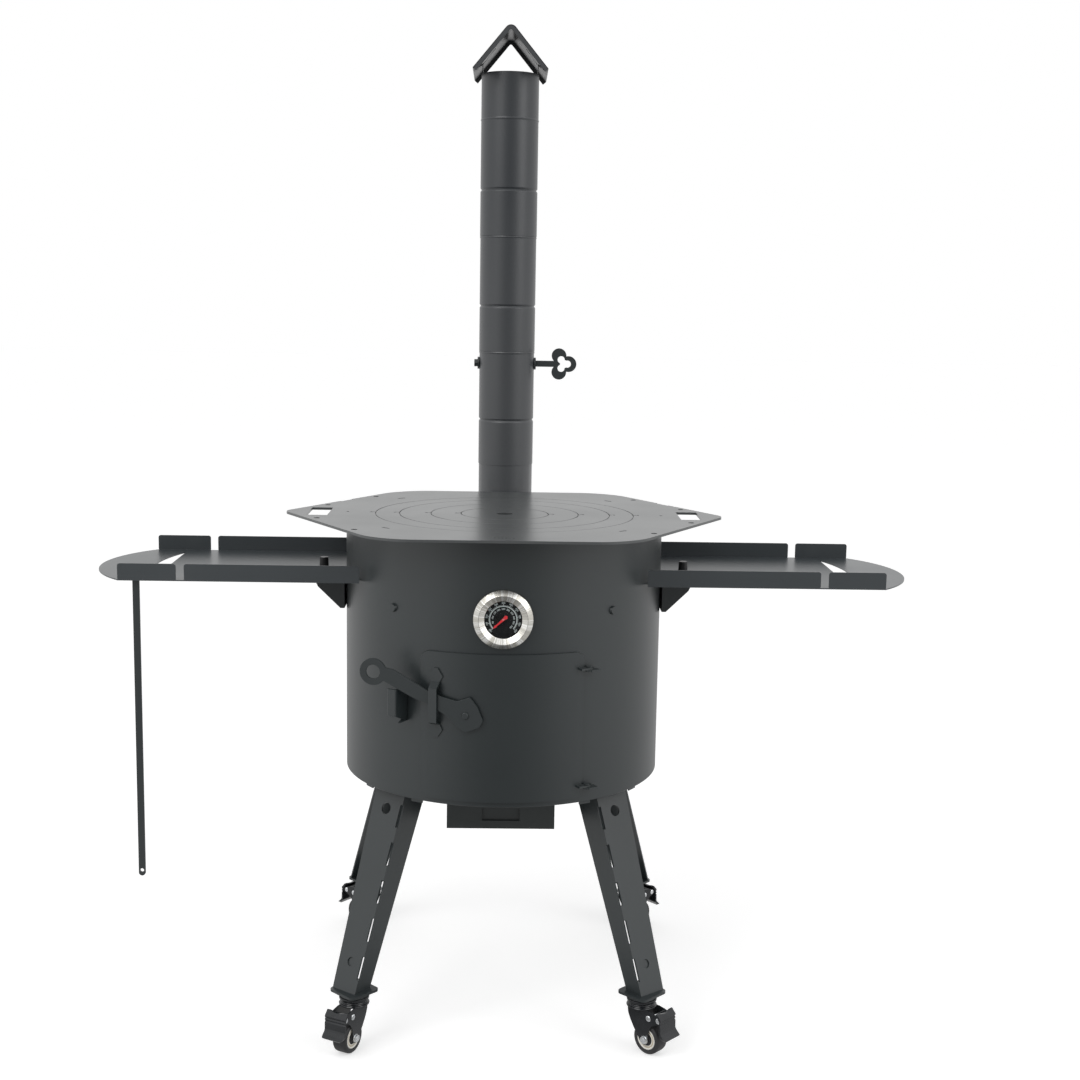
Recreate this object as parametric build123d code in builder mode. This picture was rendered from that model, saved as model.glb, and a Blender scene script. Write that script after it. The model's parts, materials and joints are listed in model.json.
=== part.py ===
from build123d import *
import os
from math import asin, atan2, cos, degrees, hypot, radians, sin, sqrt, tan

# Outdoor cauldron stove. Millimetres. Origin on the floor under the drum's axis, X to the right,
# Y to the back, Z up. Angles round the drum are counted from its front, positive to the right.

os.makedirs("parts", exist_ok=True)

# Clearances
overrun = 5.0  # how far a cut runs past what it cuts
running_clearance = 0.08  # radial, round pins and shafts
loose_clearance = 0.3  # between pieces that must not rub

# Drum
drum_radius = 257.0
drum_wall = 3.0
drum_bottom = 404.0
drum_height = 411.0
drum_top = drum_bottom + drum_height
drum_inner = drum_radius - drum_wall

# Floor of the drum and its lips, two beside each leg
floor_thickness = 3.0
floor_opening = 130.0
lip_angles = (31.0, 56.0, 124.0, 149.0)
lip_width = 20.0
lip_depth = 6.0
lip_thickness = 2.5

# Fire grate
grate_radius = 112.0
grate_thickness = 5.0
grate_slot_length = 150.0
grate_slot_width = 8.0
grate_slot_pitch = 18.0
grate_slots = 8

# Shell bolts that hold the pot support angles
bolt_radius = 3.0
bolt_head_radius = 7.0
bolt_head_height = 4.0
nut_across = 10.0
nut_height = 5.0
support_bolt_angles = (-40.5, 40.5, -139.5, 139.5)
support_bolt_down = 116.0  # below the drum's top
support_bolt_height = drum_top - support_bolt_down
support_width = 30.0
support_thickness = 3.0
support_reach = 36.0
support_drop = 26.0

# Flue elbow behind the drum
flue_behind = 93.0  # chimney's axis behind the drum's wall
flue_wall = 2.0
duct_down = 70.0  # duct's axis below the drum's top
flue_rise = 199.0
flue_centre = drum_radius + flue_behind
duct_height = drum_top - duct_down
flue_top = duct_height + flue_rise

# Chimney pipes, each slid over the one below
pipe_radius = 50.0  # of the lowest section
pipe_wall = 0.6
pipe_fit = 0.1
pipe_length = 284.0
pipe_pitch = 206.0
pipe_overlap = 78.0  # of the lowest section over the flue
pipe_start = flue_top - pipe_overlap
flue_radius = pipe_radius - pipe_wall - loose_clearance
bead_height = 204.0
bead_half = 2.0
bead_out = 0.8
groove_height = 81.5
groove_half = 3.0
groove_depth = 2.0
pipe_step = pipe_wall + pipe_fit

# Chimney cap
cap_overhang = 16.0  # to each side of the lowest pipe's radius
cap_rise = 73.0
cap_half_width = pipe_radius + cap_overhang
cap_eaves = pipe_start + 2 * pipe_pitch + pipe_length
cap_apex = cap_eaves + cap_rise
cap_depth = 170.0
cap_sheet = 1.5
cap_return = 8.0
cap_notch = 3.0
cap_slot_past = 0.7  # slot's outer end beyond the top pipe's bore
cap_slot_length = 17.0
cap_slot_width = 16.0
strap_thickness = 1.5
strap_tongue_width = 12.0
strap_shoulder_width = 18.0
strap_grip = 32.0
strap_fold = 7.5  # folded tongue's length past its slot

# Damper
damper_up = 184.0  # above the lowest pipe's end
blade_gap = 2.4
damper_height = pipe_start + damper_up
blade_radius = pipe_radius - pipe_wall - blade_gap
blade_thickness = 1.5
spindle_radius = 4.0
washer_radius = 11.0
washer_thickness = 3.2
damper_nut_across = 13.0
damper_nut_height = 6.0
key_stem_length = 30.0
key_stem_height = 11.0
key_thickness = 3.0
key_lobe_radius = 13.5
key_lobe_spread = 15.0
key_lobe_out = 12.5
key_tip_radius = 14.5
key_tip_out = 30.0
key_hole_radius = 6.5
key_middle_out = 5.0
key_middle_radius = 9.5

# Cooking plate, a six-sided sheet
plate_thickness = 4.0
plate_over_side = 103.0  # beyond the drum
plate_over_front = 38.0
plate_corner_in = 69.0
plate_corner_radius = 90.0
plate_tip_radius = 28.0
hand_hole_out = 28.0
hand_hole_width = 34.0
hand_hole_length = 90.0
hand_hole_corner = 1.5
plate_half_width = drum_radius + plate_over_side
plate_half_depth = drum_radius + plate_over_front
plate_corner_x = drum_radius - plate_corner_in
hand_hole_inner = drum_radius + hand_hole_out
hang_hole_radius = 5.0
hang_hole_inset = 14.0
hang_hole_spread = 70.0
notch_width = 6.0
notch_depth = 9.0
notch_spread = 16.0
small_hole_radius = 2.5
small_hole_beside = 29.0  # from the hand hole
small_hole_place = hand_hole_inner - small_hole_beside
vent_hole_radius = 1.6
vent_hole_pitch = 5.5
vent_holes = 6
vent_hole_inset = 27.0
rim_tab_width = 13.0
rim_tab_height = 3.6
rim_tab_thickness = 2.8
rim_slot_length = 15.0
rim_slot_width = 4.4
rim_tab_angle = 45.0

# Rings in the plate, by the radius of each dividing line
ring_rim = 46.0  # from the drum's radius to the outermost line
ring_width_large = 39.0
ring_width_medium = 51.0
ring_width_small = 49.0
ring_gap = 1.2
ring_ledge = 8.0
ring_notch_width = 2.4
ring_notch_length = 7.0
ring_notch_eye = 2.4
disc_hole_radius = 13.5
line_large = drum_radius - ring_rim
line_medium = line_large - ring_width_large
line_small = line_medium - ring_width_medium
line_disc = line_small - ring_width_small
ring_lines = (line_large, line_medium, line_small, line_disc)

# Thermometer
gauge_down = 120.0  # below the drum's top
gauge_radius = 45.0
gauge_wall = 5.0
gauge_case_wall = 3.0
gauge_case_depth = 5.2
gauge_case_back = 1.2
gauge_crest_in = 8.0  # from the outer edge to the crest
gauge_crest_depth = 11.0
gauge_edge_depth = 4.6
gauge_face_width = 16.7  # from the outer edge to the window
gauge_window_depth = 6.6
gauge_lip = 0.9
gauge_glass_lap = 5.7
gauge_glass_thickness = 1.2
gauge_dial_thickness = 0.8
gauge_height = drum_top - gauge_down
gauge_case_radius = gauge_radius - gauge_wall
gauge_dial_radius = gauge_case_radius - gauge_case_wall
gauge_crest_radius = gauge_radius - gauge_crest_in
gauge_window_radius = gauge_radius - gauge_face_width
gauge_glass_radius = gauge_window_radius + gauge_glass_lap
gauge_stem_radius = 4.0
gauge_stem_length = 55.0
gauge_nut_across = 18.0
gauge_nut_height = 6.0
needle_length = 20.7
needle_tail = 7.4
needle_tail_width = 4.4
needle_neck_width = 1.2
needle_tip_width = 2.6
needle_tip_length = 5.0
needle_thickness = 0.6
needle_lift = 0.5
needle_hub = 1.9
needle_pin = 0.7
needle_angle = 222.0

# Door, a curved sheet over an opening in the drum
door_sheet = 3.0
door_clearance = 0.3
door_half_width = 124.0
door_above = 8.0  # over the drum's bottom
door_below = 9.0  # under the thermometer
door_corner = 14.0
door_lap = 14.0
door_bottom = drum_bottom + door_above
door_top = gauge_height - gauge_radius - door_below
door_inner = drum_radius + door_clearance
door_outer = door_inner + door_sheet

# Door hinge
hinge_side = 6.9  # of the pin's axis beside the door
hinge_out = 8.0  # of the pin's axis in front of the drum
hinge_from_top = 27.0
hinge_from_bottom = 18.0
hinge_radius = drum_radius + hinge_out
hinge_angle = degrees(asin((door_half_width + hinge_side) / hinge_radius))
hinge_heights = (door_top - hinge_from_top, door_bottom + hinge_from_bottom)
hinge_pin_radius = 2.5
hinge_pin_head = 4.0
hinge_pin_head_height = 1.6
hinge_lug_radius = 6.0
hinge_lug_reach = 16.0
hinge_lug_thickness = 3.0

# Latch
latch_side = 53.4  # of the rivet beside the door's middle
latch_above = 20.8  # over the door's middle
latch_sheet = 3.0
latch_standoff = 6.0  # lever's back in front of the drum
latch_rivet_radius = 3.0
latch_rivet_head = 6.0
latch_rivet_head_height = 2.5
latch_collar_radius = 8.0
latch_reach = 144.0  # from the rivet to the ring's middle, to the side
latch_ring_up = 59.2
latch_ring_radius = 20.8
latch_ring_hole = 10.6
latch_corner = 3.5
latch_angle = -degrees(asin(latch_side / drum_radius))
latch_height = (door_bottom + door_top) / 2 + latch_above

# Points of the lever's outline from the ring over the top to the leaf and back, of its reach
lever_shares = (
    (-0.93, 0.475),
    (-0.77, 0.445),
    (-0.40, 0.24),
    (-0.245, 0.185),
    (-0.09, 0.15),
    (0.05, 0.20),
    (0.13, 0.10),
    (0.19, -0.045),
    (0.15, -0.12),
    (0.005, -0.18),
    (-0.08, -0.135),
    (-0.16, -0.055),
    (-0.235, 0.005),
    (-0.41, 0.105),
    (-0.57, 0.16),
    (-0.93, 0.34),
)
lever_seat_points = (-2, -1)  # the two that the straight edge over the catch runs between

# Latch guide, a strap over the lever with a leaf-shaped foot at each end
guide_beside = 48.7  # from the rivet
guide_width = 13.6
guide_sheet = 2.4
guide_top = 38.0  # inner top corner above the rivet
guide_bottom = 12.0
guide_top_slope = 10.0
guide_bottom_slope = 5.0
guide_foot_length = 21.0
guide_foot_width = 23.0
guide_foot_flare = 9.0

# Latch catch
catch_beside = 21.6  # from the door's edge
catch_sheet = 4.0
catch_past = 2.0  # beyond the lever's front
catch_gap = 0.8
catch_nose = 14.0
catch_root = 8.0
catch_height = 54.0
catch_angle = -degrees(asin((door_half_width + catch_beside) / drum_radius))

# Ash drawer and its housing
ash_half_width = 85.5
ash_depth = 70.0
ash_front = 148.0
ash_back = 62.0
ash_sheet = 1.5
ash_front_sheet = 2.0
ash_gap = 1.0
ash_tray_height = 46.0
ash_pull_width = 60.0
ash_pull_height = 20.0
ash_pull_up = 23.0
ash_pull_depth = 14.0
ash_bottom = drum_bottom - ash_depth
ash_pull_middle = ash_bottom + ash_pull_up

# Legs, bent sheets with an edge that faces outwards
leg_sheet = 3.0
leg_top_in = 48.0  # of the bent edge's top inside the drum's radius
front_foot_side = 222.5  # foot of a front leg's bent edge
front_foot_out = 244.0
rear_foot_side = 239.0  # foot of a rear leg's bent edge
rear_foot_out = 286.0
leg_outer_top = 62.0
leg_outer_bottom = 47.0
leg_inner_top = 54.0
leg_inner_bottom = 35.0
leg_slot_width = 4.0  # on each side of the bend
leg_slot_length = 36.0
leg_slot_pitch = 60.0
leg_slot_first = 51.0
leg_slots = 5
leg_hole_radius = 9.0
leg_hole_down = 44.0
leg_dimple_radius = 7.0
leg_dimple_up = 45.5
leg_dimple_depth = 2.0
foot_side = 57.0
foot_thickness = 4.0
foot_corner_radius = 8.0
foot_inset = 17.4  # of the foot's middle from each flange's face
leg_top_radius = drum_radius - leg_top_in
leg_foot_front = (front_foot_side, front_foot_out)
leg_foot_back = (rear_foot_side, rear_foot_out)

# Castors
wheel_radius = 25.0
wheel_width = 21.0
wheel_edge_radius = 3.0
hub_radius = 6.5
wheel_dish_radius = 17.0
wheel_dish_depth = 2.5
castor_trail = 19.5
castor_head_radius = 24.0
castor_head_height = 12.0
fork_sheet = 2.0
fork_side_gap = 2.5
fork_over_wheel = 24.0
fork_disc_height = 6.0
fork_boss_radius = 9.0
fork_neck = 4.0
king_pin_radius = 4.0
king_pin_head = 7.0
king_pin_head_height = 3.0
axle_radius = 4.0
axle_head_radius = 6.5
axle_head_height = 5.0
brake_pivot_past = 26.0  # beyond the axle
brake_pivot_up = 14.0  # over the wheel's top
brake_rivet_past = 6.5
brake_rivet_up = 12.0
brake_rivet_radius = 2.0
brake_rivet_head = 4.0
brake_rivet_head_height = 1.2
pedal_width = 38.0
pedal_sheet = 3.0
pedal_seat = 5.0  # from the pivot to the plate
pedal_ridge_up = 4.0
pedal_top_in = 6.0  # of the top edge from the ridge
pedal_top_rise = 6.0
pedal_bend_drop = 18.0
pedal_lip_out = 10.0
pedal_lip_drop = 9.0
pedal_ear = 6.0
pedal_ear_rise = 2.5
pedal_hub_radius = 4.5
wheel_top = 2 * wheel_radius
fork_top_height = wheel_top + fork_over_wheel
head_bottom = fork_top_height + fork_disc_height
foot_bottom = head_bottom + castor_head_height
foot_top = foot_bottom + foot_thickness
brake_pivot_out = castor_trail + brake_pivot_past
brake_pivot_height = wheel_top + brake_pivot_up
brake_rivet_out = castor_trail + brake_rivet_past
brake_rivet_height = wheel_top + brake_rivet_up
pedal_inner = brake_pivot_out + pedal_seat
pedal_outer = pedal_inner + pedal_sheet
pedal_ridge = brake_pivot_height + pedal_ridge_up
pedal_top = pedal_ridge + pedal_top_rise
pedal_bend = brake_pivot_height - pedal_bend_drop
pedal_lip = pedal_bend - pedal_lip_drop

# Side tables
table_half_width = 148.0
table_sheet = 2.0
table_down = 86.4  # below the drum's top
table_flange_height = 25.0
table_start_in = 33.0  # flanges' start inside the drum's radius
table_inner_flange = 270.5
table_gap = 12.5
table_outer_flange = 90.0
table_nose = 59.0
table_flange_radius = 4.0
table_hug = 0.5
table_hug_half = 120.0
table_top = drum_top - table_down
table_flange_top = table_top + table_flange_height
table_start = drum_radius - table_start_in
table_gap_start = table_start + table_inner_flange
table_gap_end = table_gap_start + table_gap
table_end = table_gap_end + table_outer_flange
table_reach = table_end + table_nose
grip_in = 52.0  # of the grip's hole inside the flanges' end
grip_side = 24.0
grip_bulge = 24.0
grip_start = table_end - grip_in
grip_half = table_half_width - grip_side

# Table brackets and thumb screws
thumb_beside = 38.0  # from the drum
thumb_radius = 7.8
thumb_height = 15.0
thumb_stud_radius = 3.0
thumb_stud_length = 14.0
thumb_out = drum_radius + thumb_beside
bracket_half_width = 45.0
bracket_sheet = 2.0
bracket_length = 49.0
bracket_nose_down = 14.6
bracket_knee_in = 6.0
bracket_knee_down = 12.0
bracket_foot_length = 7.0
bracket_drop = 35.0
bracket_bolt_up = 17.0
bracket_bolt_pitch = 22.0
bracket_reach = drum_radius + bracket_length
bracket_knee_x = bracket_reach - bracket_knee_in
bracket_foot_x = drum_radius + bracket_foot_length
bracket_nose = table_top - bracket_nose_down
bracket_knee = bracket_nose - bracket_knee_down
bracket_bottom = bracket_knee - bracket_drop
bracket_bolt_low = bracket_bottom + bracket_bolt_up
bracket_bolt_heights = (bracket_bolt_low, bracket_bolt_low + bracket_bolt_pitch)

# Poker
poker_beyond = 26.5  # the grip's straight side
poker_from_edge = 14.0
poker_width = 10.7
poker_thickness = 4.0
poker_length = 498.5
poker_rise = 15.4
poker_eye = 3.0
poker_eye_up = 9.0
poker_hook_reach = 26.0
poker_slot_length = 13.0
poker_slot_width = 6.4
poker_out = grip_start + poker_beyond
poker_back = table_half_width - poker_from_edge
poker_top = table_top + poker_rise
poker_bottom = poker_top - poker_length


def drum_plane(angle, height):
    """Plane through the drum's axis that faces outwards at an angle from the front, with Y up."""
    turn = radians(angle)
    return Plane(origin=(0, 0, height), x_dir=(cos(turn), sin(turn), 0), z_dir=(sin(turn), -cos(turn), 0))


def save(builder, name):
    builder.part.label = name
    export_step(builder.part, f"parts/{name}.step")


# Drum shell
opening_half_width = door_half_width - door_lap
opening_bottom = door_bottom + door_lap
opening_top = door_top - door_lap
opening_middle = (opening_bottom + opening_top) / 2

with BuildPart() as drum_shell:
    with BuildSketch(Plane.XY.offset(drum_bottom)):
        Circle(drum_radius)
        Circle(drum_inner, mode=Mode.SUBTRACT)
    extrude(amount=drum_top - drum_bottom)
    with BuildSketch(Plane.XZ):
        with Locations((0, opening_middle)):
            RectangleRounded(2 * opening_half_width, opening_top - opening_bottom, door_corner)
        with Locations((0, gauge_height)):
            Circle(gauge_stem_radius + loose_clearance)
    extrude(amount=drum_radius + overrun, mode=Mode.SUBTRACT)
    with BuildSketch(Plane.XZ):
        with Locations((0, duct_height)):
            Circle(flue_radius + loose_clearance)
    extrude(amount=-(drum_radius + overrun), mode=Mode.SUBTRACT)
    for bolt_angle in support_bolt_angles:
        with BuildSketch(drum_plane(bolt_angle, support_bolt_height)):
            Circle(bolt_radius + running_clearance)
        extrude(amount=drum_radius + overrun, mode=Mode.SUBTRACT)
    for side in (-1, 1):
        with BuildSketch(drum_plane(90 * side, 0)):
            with Locations(*[(0, height) for height in bracket_bolt_heights]):
                Circle(bolt_radius + running_clearance)
        extrude(amount=drum_radius + overrun, mode=Mode.SUBTRACT)
    with BuildSketch(Plane.XY.offset(drum_top)):
        with PolarLocations(drum_radius - drum_wall / 2, 4, start_angle=rim_tab_angle):
            Rectangle(rim_tab_thickness, rim_tab_width)
    extrude(amount=rim_tab_height)
save(drum_shell, "drum_shell")

# Drum floor
with BuildPart() as drum_floor:
    with BuildSketch(Plane.XY.offset(drum_bottom)):
        Circle(drum_inner - running_clearance)
        Rectangle(floor_opening, floor_opening, mode=Mode.SUBTRACT)
    extrude(amount=floor_thickness)
    for lip_angle in lip_angles:
        for side in (-1, 1):
            lip_plane = drum_plane(side * lip_angle, drum_bottom)
            with BuildSketch(lip_plane.offset(drum_inner - 2 * lip_thickness)):
                with Locations((0, -lip_depth / 2)):
                    Rectangle(lip_width, lip_depth)
            extrude(amount=lip_thickness)
save(drum_floor, "drum_floor")

# Fire grate
grate_bottom = drum_bottom + floor_thickness
with BuildPart() as fire_grate:
    with BuildSketch(Plane.XY.offset(grate_bottom)):
        Circle(grate_radius)
        with GridLocations(grate_slot_pitch, grate_slot_length, grate_slots, 1):
            SlotOverall(grate_slot_length, grate_slot_width, rotation=90, mode=Mode.SUBTRACT)
    extrude(amount=grate_thickness)
save(fire_grate, "fire_grate")

# Pot support angles inside the drum
support_face = sqrt(drum_inner**2 - (support_width / 2) ** 2) - running_clearance
support_top = support_bolt_height + support_drop / 2
with BuildPart() as pot_supports:
    for bolt_angle in support_bolt_angles:
        with BuildSketch(drum_plane(bolt_angle, support_bolt_height).offset(support_face)):
            Rectangle(support_width, support_drop)
            Circle(bolt_radius + running_clearance, mode=Mode.SUBTRACT)
        extrude(amount=-support_thickness)
        with BuildSketch(drum_plane(bolt_angle, support_top).offset(support_face)):
            with Locations((0, -support_thickness / 2)):
                Rectangle(support_width, support_thickness)
        extrude(amount=-support_reach)
save(pot_supports, "pot_supports")

# Shell bolts with their nuts
bracket_seat = drum_radius + loose_clearance  # where the table brackets' back plates start
support_nut_seat = support_face - support_thickness
shell_nut_seat = sqrt(drum_inner**2 - nut_across**2) - running_clearance
bolt_places = [
    (angle, support_bolt_height, drum_radius, support_nut_seat) for angle in support_bolt_angles
]
bolt_places += [
    (90 * side, height, bracket_seat + bracket_sheet, shell_nut_seat)
    for side in (-1, 1)
    for height in bracket_bolt_heights
]
with BuildPart() as shell_bolts:
    for angle, height, head_seat, nut_seat in bolt_places:
        bolt_plane = drum_plane(angle, height)
        with BuildSketch(bolt_plane.offset(nut_seat - nut_height - bolt_radius)):
            Circle(bolt_radius)
        extrude(amount=head_seat - nut_seat + nut_height + bolt_radius)
        with BuildSketch(bolt_plane.offset(head_seat)):
            Circle(bolt_head_radius)
        extrude(amount=bolt_head_height, taper=20)
        with BuildSketch(bolt_plane.offset(nut_seat - nut_height)):
            RegularPolygon(nut_across / 2, 6, major_radius=False)
        extrude(amount=nut_height)
save(shell_bolts, "shell_bolts")

# Flue elbow
elbow_start = drum_inner - overrun
with BuildPart() as flue_elbow:
    with BuildLine():
        Polyline((0, elbow_start, duct_height), (0, flue_centre, duct_height), (0, flue_centre, flue_top))
    with BuildSketch(Plane.XZ.offset(-elbow_start)):
        with Locations((0, duct_height)):
            Circle(flue_radius)
            Circle(flue_radius - flue_wall, mode=Mode.SUBTRACT)
    sweep(transition=Transition.RIGHT)
save(flue_elbow, "flue_elbow")


# Chimney pipes
def pipe_outline(radius, bottom):
    """Half section of a pipe with its stop groove below and its stop bead above."""
    inner = radius - pipe_wall
    shape = [(0, 0), (groove_height - groove_half, 0), (groove_height, -groove_depth)]
    shape += [(groove_height + groove_half, 0), (bead_height - bead_half, 0), (bead_height, bead_out)]
    shape += [(bead_height + bead_half, 0), (pipe_length, 0)]
    outer_points = [(radius + out, bottom + up) for up, out in shape]
    inner_points = [(inner + out, bottom + up) for up, out in reversed(shape)]
    return outer_points + inner_points


flue_axis = Axis((0, flue_centre, 0), (0, 0, 1))
flue_section = Plane(origin=(0, flue_centre, 0), x_dir=(1, 0, 0), z_dir=(0, -1, 0))
pipe_names = ("chimney_pipe_lower", "chimney_pipe_middle", "chimney_pipe_upper")
pipe_radii = [pipe_radius + level * pipe_step for level in range(len(pipe_names))]
pipe_bottoms = [pipe_start + level * pipe_pitch for level in range(len(pipe_names))]
for pipe_name, radius, bottom in zip(pipe_names, pipe_radii, pipe_bottoms):
    with BuildPart() as chimney_pipe:
        with BuildSketch(flue_section):
            with BuildLine():
                Polyline(*pipe_outline(radius, bottom), close=True)
            make_face()
        revolve(axis=flue_axis)
        if bottom == pipe_start:
            with BuildSketch(Plane.YZ):
                with Locations((flue_centre, damper_height)):
                    Circle(spindle_radius + running_clearance)
            extrude(amount=radius + overrun, both=True, mode=Mode.SUBTRACT)
    save(chimney_pipe, pipe_name)

# Chimney cap, a folded roof with a turned-in edge at each open gable
cap_slope = atan2(cap_apex - cap_eaves, cap_half_width)


def roof_height(x, lift):
    """Height of the roof's upper face at x, raised square to the slope."""
    return cap_apex - x * tan(cap_slope) + lift / cos(cap_slope)


def roof_band(depth):
    """Outline of the folded sheet from its upper face down to a depth square to the slope."""
    half = cap_half_width
    foot = half - depth * sin(cap_slope)
    foot_height = cap_eaves - depth * cos(cap_slope)
    ridge = roof_height(0, -depth)
    return [(-half, cap_eaves), (0, cap_apex), (half, cap_eaves), (foot, foot_height), (0, ridge), (-foot, foot_height)]


cap_front = flue_centre - cap_depth / 2
top_bore = pipe_radii[-1] - pipe_wall
cap_slot_outer = top_bore + cap_slot_past
cap_slot_inner = cap_slot_outer - cap_slot_length
strap_start = cap_eaves - strap_grip
strap_fold_end = cap_slot_inner - strap_fold
with BuildPart() as cap_roof:
    with BuildSketch(Plane.XZ.offset(-cap_front)):
        with BuildLine():
            Polyline(*roof_band(cap_sheet), close=True)
        make_face()
    extrude(amount=-cap_depth)
    for edge in (cap_front, cap_front + cap_depth - cap_sheet):
        with BuildSketch(Plane.XZ.offset(-edge)):
            with BuildLine():
                Polyline(*roof_band(cap_return), close=True)
            make_face()
            with Locations((0, roof_height(0, -cap_return))):
                Rectangle(cap_notch, 2 * (cap_return - cap_sheet), mode=Mode.SUBTRACT)
        extrude(amount=-cap_sheet)
    slot_middle = (cap_slot_inner + cap_slot_outer) / 2
    for side in (-1, 1):
        with BuildSketch(Plane.XY.offset(cap_eaves)):
            with Locations((side * slot_middle, flue_centre)):
                Rectangle(cap_slot_outer - cap_slot_inner, cap_slot_width)
        extrude(amount=cap_apex - cap_eaves, mode=Mode.SUBTRACT)
save(cap_roof, "cap_roof")

# Cap straps: shoulders carry the roof, tongues go through its slots and fold over
strap_outer = sqrt(top_bore**2 - (strap_shoulder_width / 2) ** 2) - running_clearance
strap_inner = strap_outer - strap_thickness
shoulder_top = roof_height(strap_outer, -cap_sheet) - loose_clearance
fold_low = running_clearance
fold_high = fold_low + strap_thickness
with BuildPart() as cap_straps:
    for side in (-1, 1):
        with BuildSketch(flue_section):
            with BuildLine():
                Polyline(
                    (side * strap_inner, strap_start),
                    (side * strap_outer, strap_start),
                    (side * strap_outer, roof_height(strap_outer, fold_high)),
                    (side * strap_fold_end, roof_height(strap_fold_end, fold_high)),
                    (side * strap_fold_end, roof_height(strap_fold_end, fold_low)),
                    (side * strap_inner, roof_height(strap_inner, fold_low)),
                    close=True,
                )
            make_face()
        extrude(amount=strap_tongue_width / 2, both=True)
        with BuildSketch(flue_section):
            with Locations((side * (strap_inner + strap_outer) / 2, (strap_start + shoulder_top) / 2)):
                Rectangle(strap_thickness, shoulder_top - strap_start)
        extrude(amount=strap_shoulder_width / 2, both=True)
save(cap_straps, "cap_straps")

# Damper blade, spindle with key, nut and washers
damper_section = Plane(origin=(0, flue_centre, damper_height), x_dir=(1, 0, 0), z_dir=(0, -1, 0))
damper_side = Plane(origin=(0, flue_centre, damper_height), x_dir=(0, 1, 0), z_dir=(1, 0, 0))
washer_seat = pipe_radius + running_clearance
spindle_end = washer_seat + washer_thickness + running_clearance
nut_seat_out = spindle_end
key_lobe_place = key_stem_length + key_lobe_out
key_lobe_centres = [(spindle_end + key_lobe_place, side * key_lobe_spread) for side in (-1, 1)]
key_tip_centre = (spindle_end + key_stem_length + key_tip_out, 0)
with BuildPart() as damper_blade:
    with BuildSketch(damper_section.offset(-spindle_radius)):
        Circle(blade_radius)
    extrude(amount=-blade_thickness)
save(damper_blade, "damper_blade")

with BuildPart() as damper_spindle:
    with BuildSketch(damper_side.offset(-(nut_seat_out + damper_nut_height))):
        Circle(spindle_radius)
    extrude(amount=nut_seat_out + damper_nut_height + spindle_end)
    with BuildSketch(damper_section):
        with Locations((spindle_end + key_lobe_place / 2, 0)):
            Rectangle(key_lobe_place, key_stem_height)
        with Locations(*key_lobe_centres):
            Circle(key_lobe_radius)
        with Locations(key_tip_centre):
            Circle(key_tip_radius)
        with Locations(*key_lobe_centres, key_tip_centre):
            Circle(key_hole_radius, mode=Mode.SUBTRACT)
        with Locations((spindle_end + key_lobe_place + key_middle_out, 0)):
            Circle(key_middle_radius, mode=Mode.SUBTRACT)
    extrude(amount=key_thickness / 2, both=True)
save(damper_spindle, "damper_spindle")

with BuildPart() as damper_nut:
    with BuildSketch(damper_side.offset(-nut_seat_out)):
        RegularPolygon(damper_nut_across / 2, 6, major_radius=False)
        Circle(spindle_radius + running_clearance, mode=Mode.SUBTRACT)
    extrude(amount=-damper_nut_height)
save(damper_nut, "damper_nut")

with BuildPart() as damper_washers:
    for side in (-1, 1):
        with BuildSketch(damper_side.offset(side * washer_seat)):
            Circle(washer_radius)
            Circle(spindle_radius + running_clearance, mode=Mode.SUBTRACT)
        extrude(amount=side * washer_thickness)
save(damper_washers, "damper_washers")

# Cooking plate
plate_bottom = drum_top
plate_middle = plate_bottom + plate_thickness / 2
plate_top = plate_bottom + plate_thickness
slant_x = plate_half_width - plate_corner_x
slant_length = hypot(slant_x, plate_half_depth)
slant_angle = degrees(atan2(plate_half_depth, -slant_x))
slant_middle = ((plate_half_width + plate_corner_x) / 2, plate_half_depth / 2)


def slant_place(along, inset, side_x, side_y):
    """A place beside a slanted edge of the plate, along it from its middle and inset from it."""
    along_x = -slant_x / slant_length * along
    along_y = plate_half_depth / slant_length * along
    inset_x = -plate_half_depth / slant_length * inset
    inset_y = -slant_x / slant_length * inset
    return (side_x * (slant_middle[0] + along_x + inset_x), side_y * (slant_middle[1] + along_y + inset_y))


def ring_notch_cut(line_radius):
    """Keyhole notches outside a dividing line, at its left and right ends."""
    for side in (-1, 1):
        with Locations((side * (line_radius + ring_notch_length / 2 - ring_gap), 0)):
            Rectangle(ring_notch_length + 2 * ring_gap, ring_notch_width, mode=Mode.SUBTRACT)
        with Locations((side * (line_radius + ring_notch_length), 0)):
            Circle(ring_notch_eye, mode=Mode.SUBTRACT)


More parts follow.
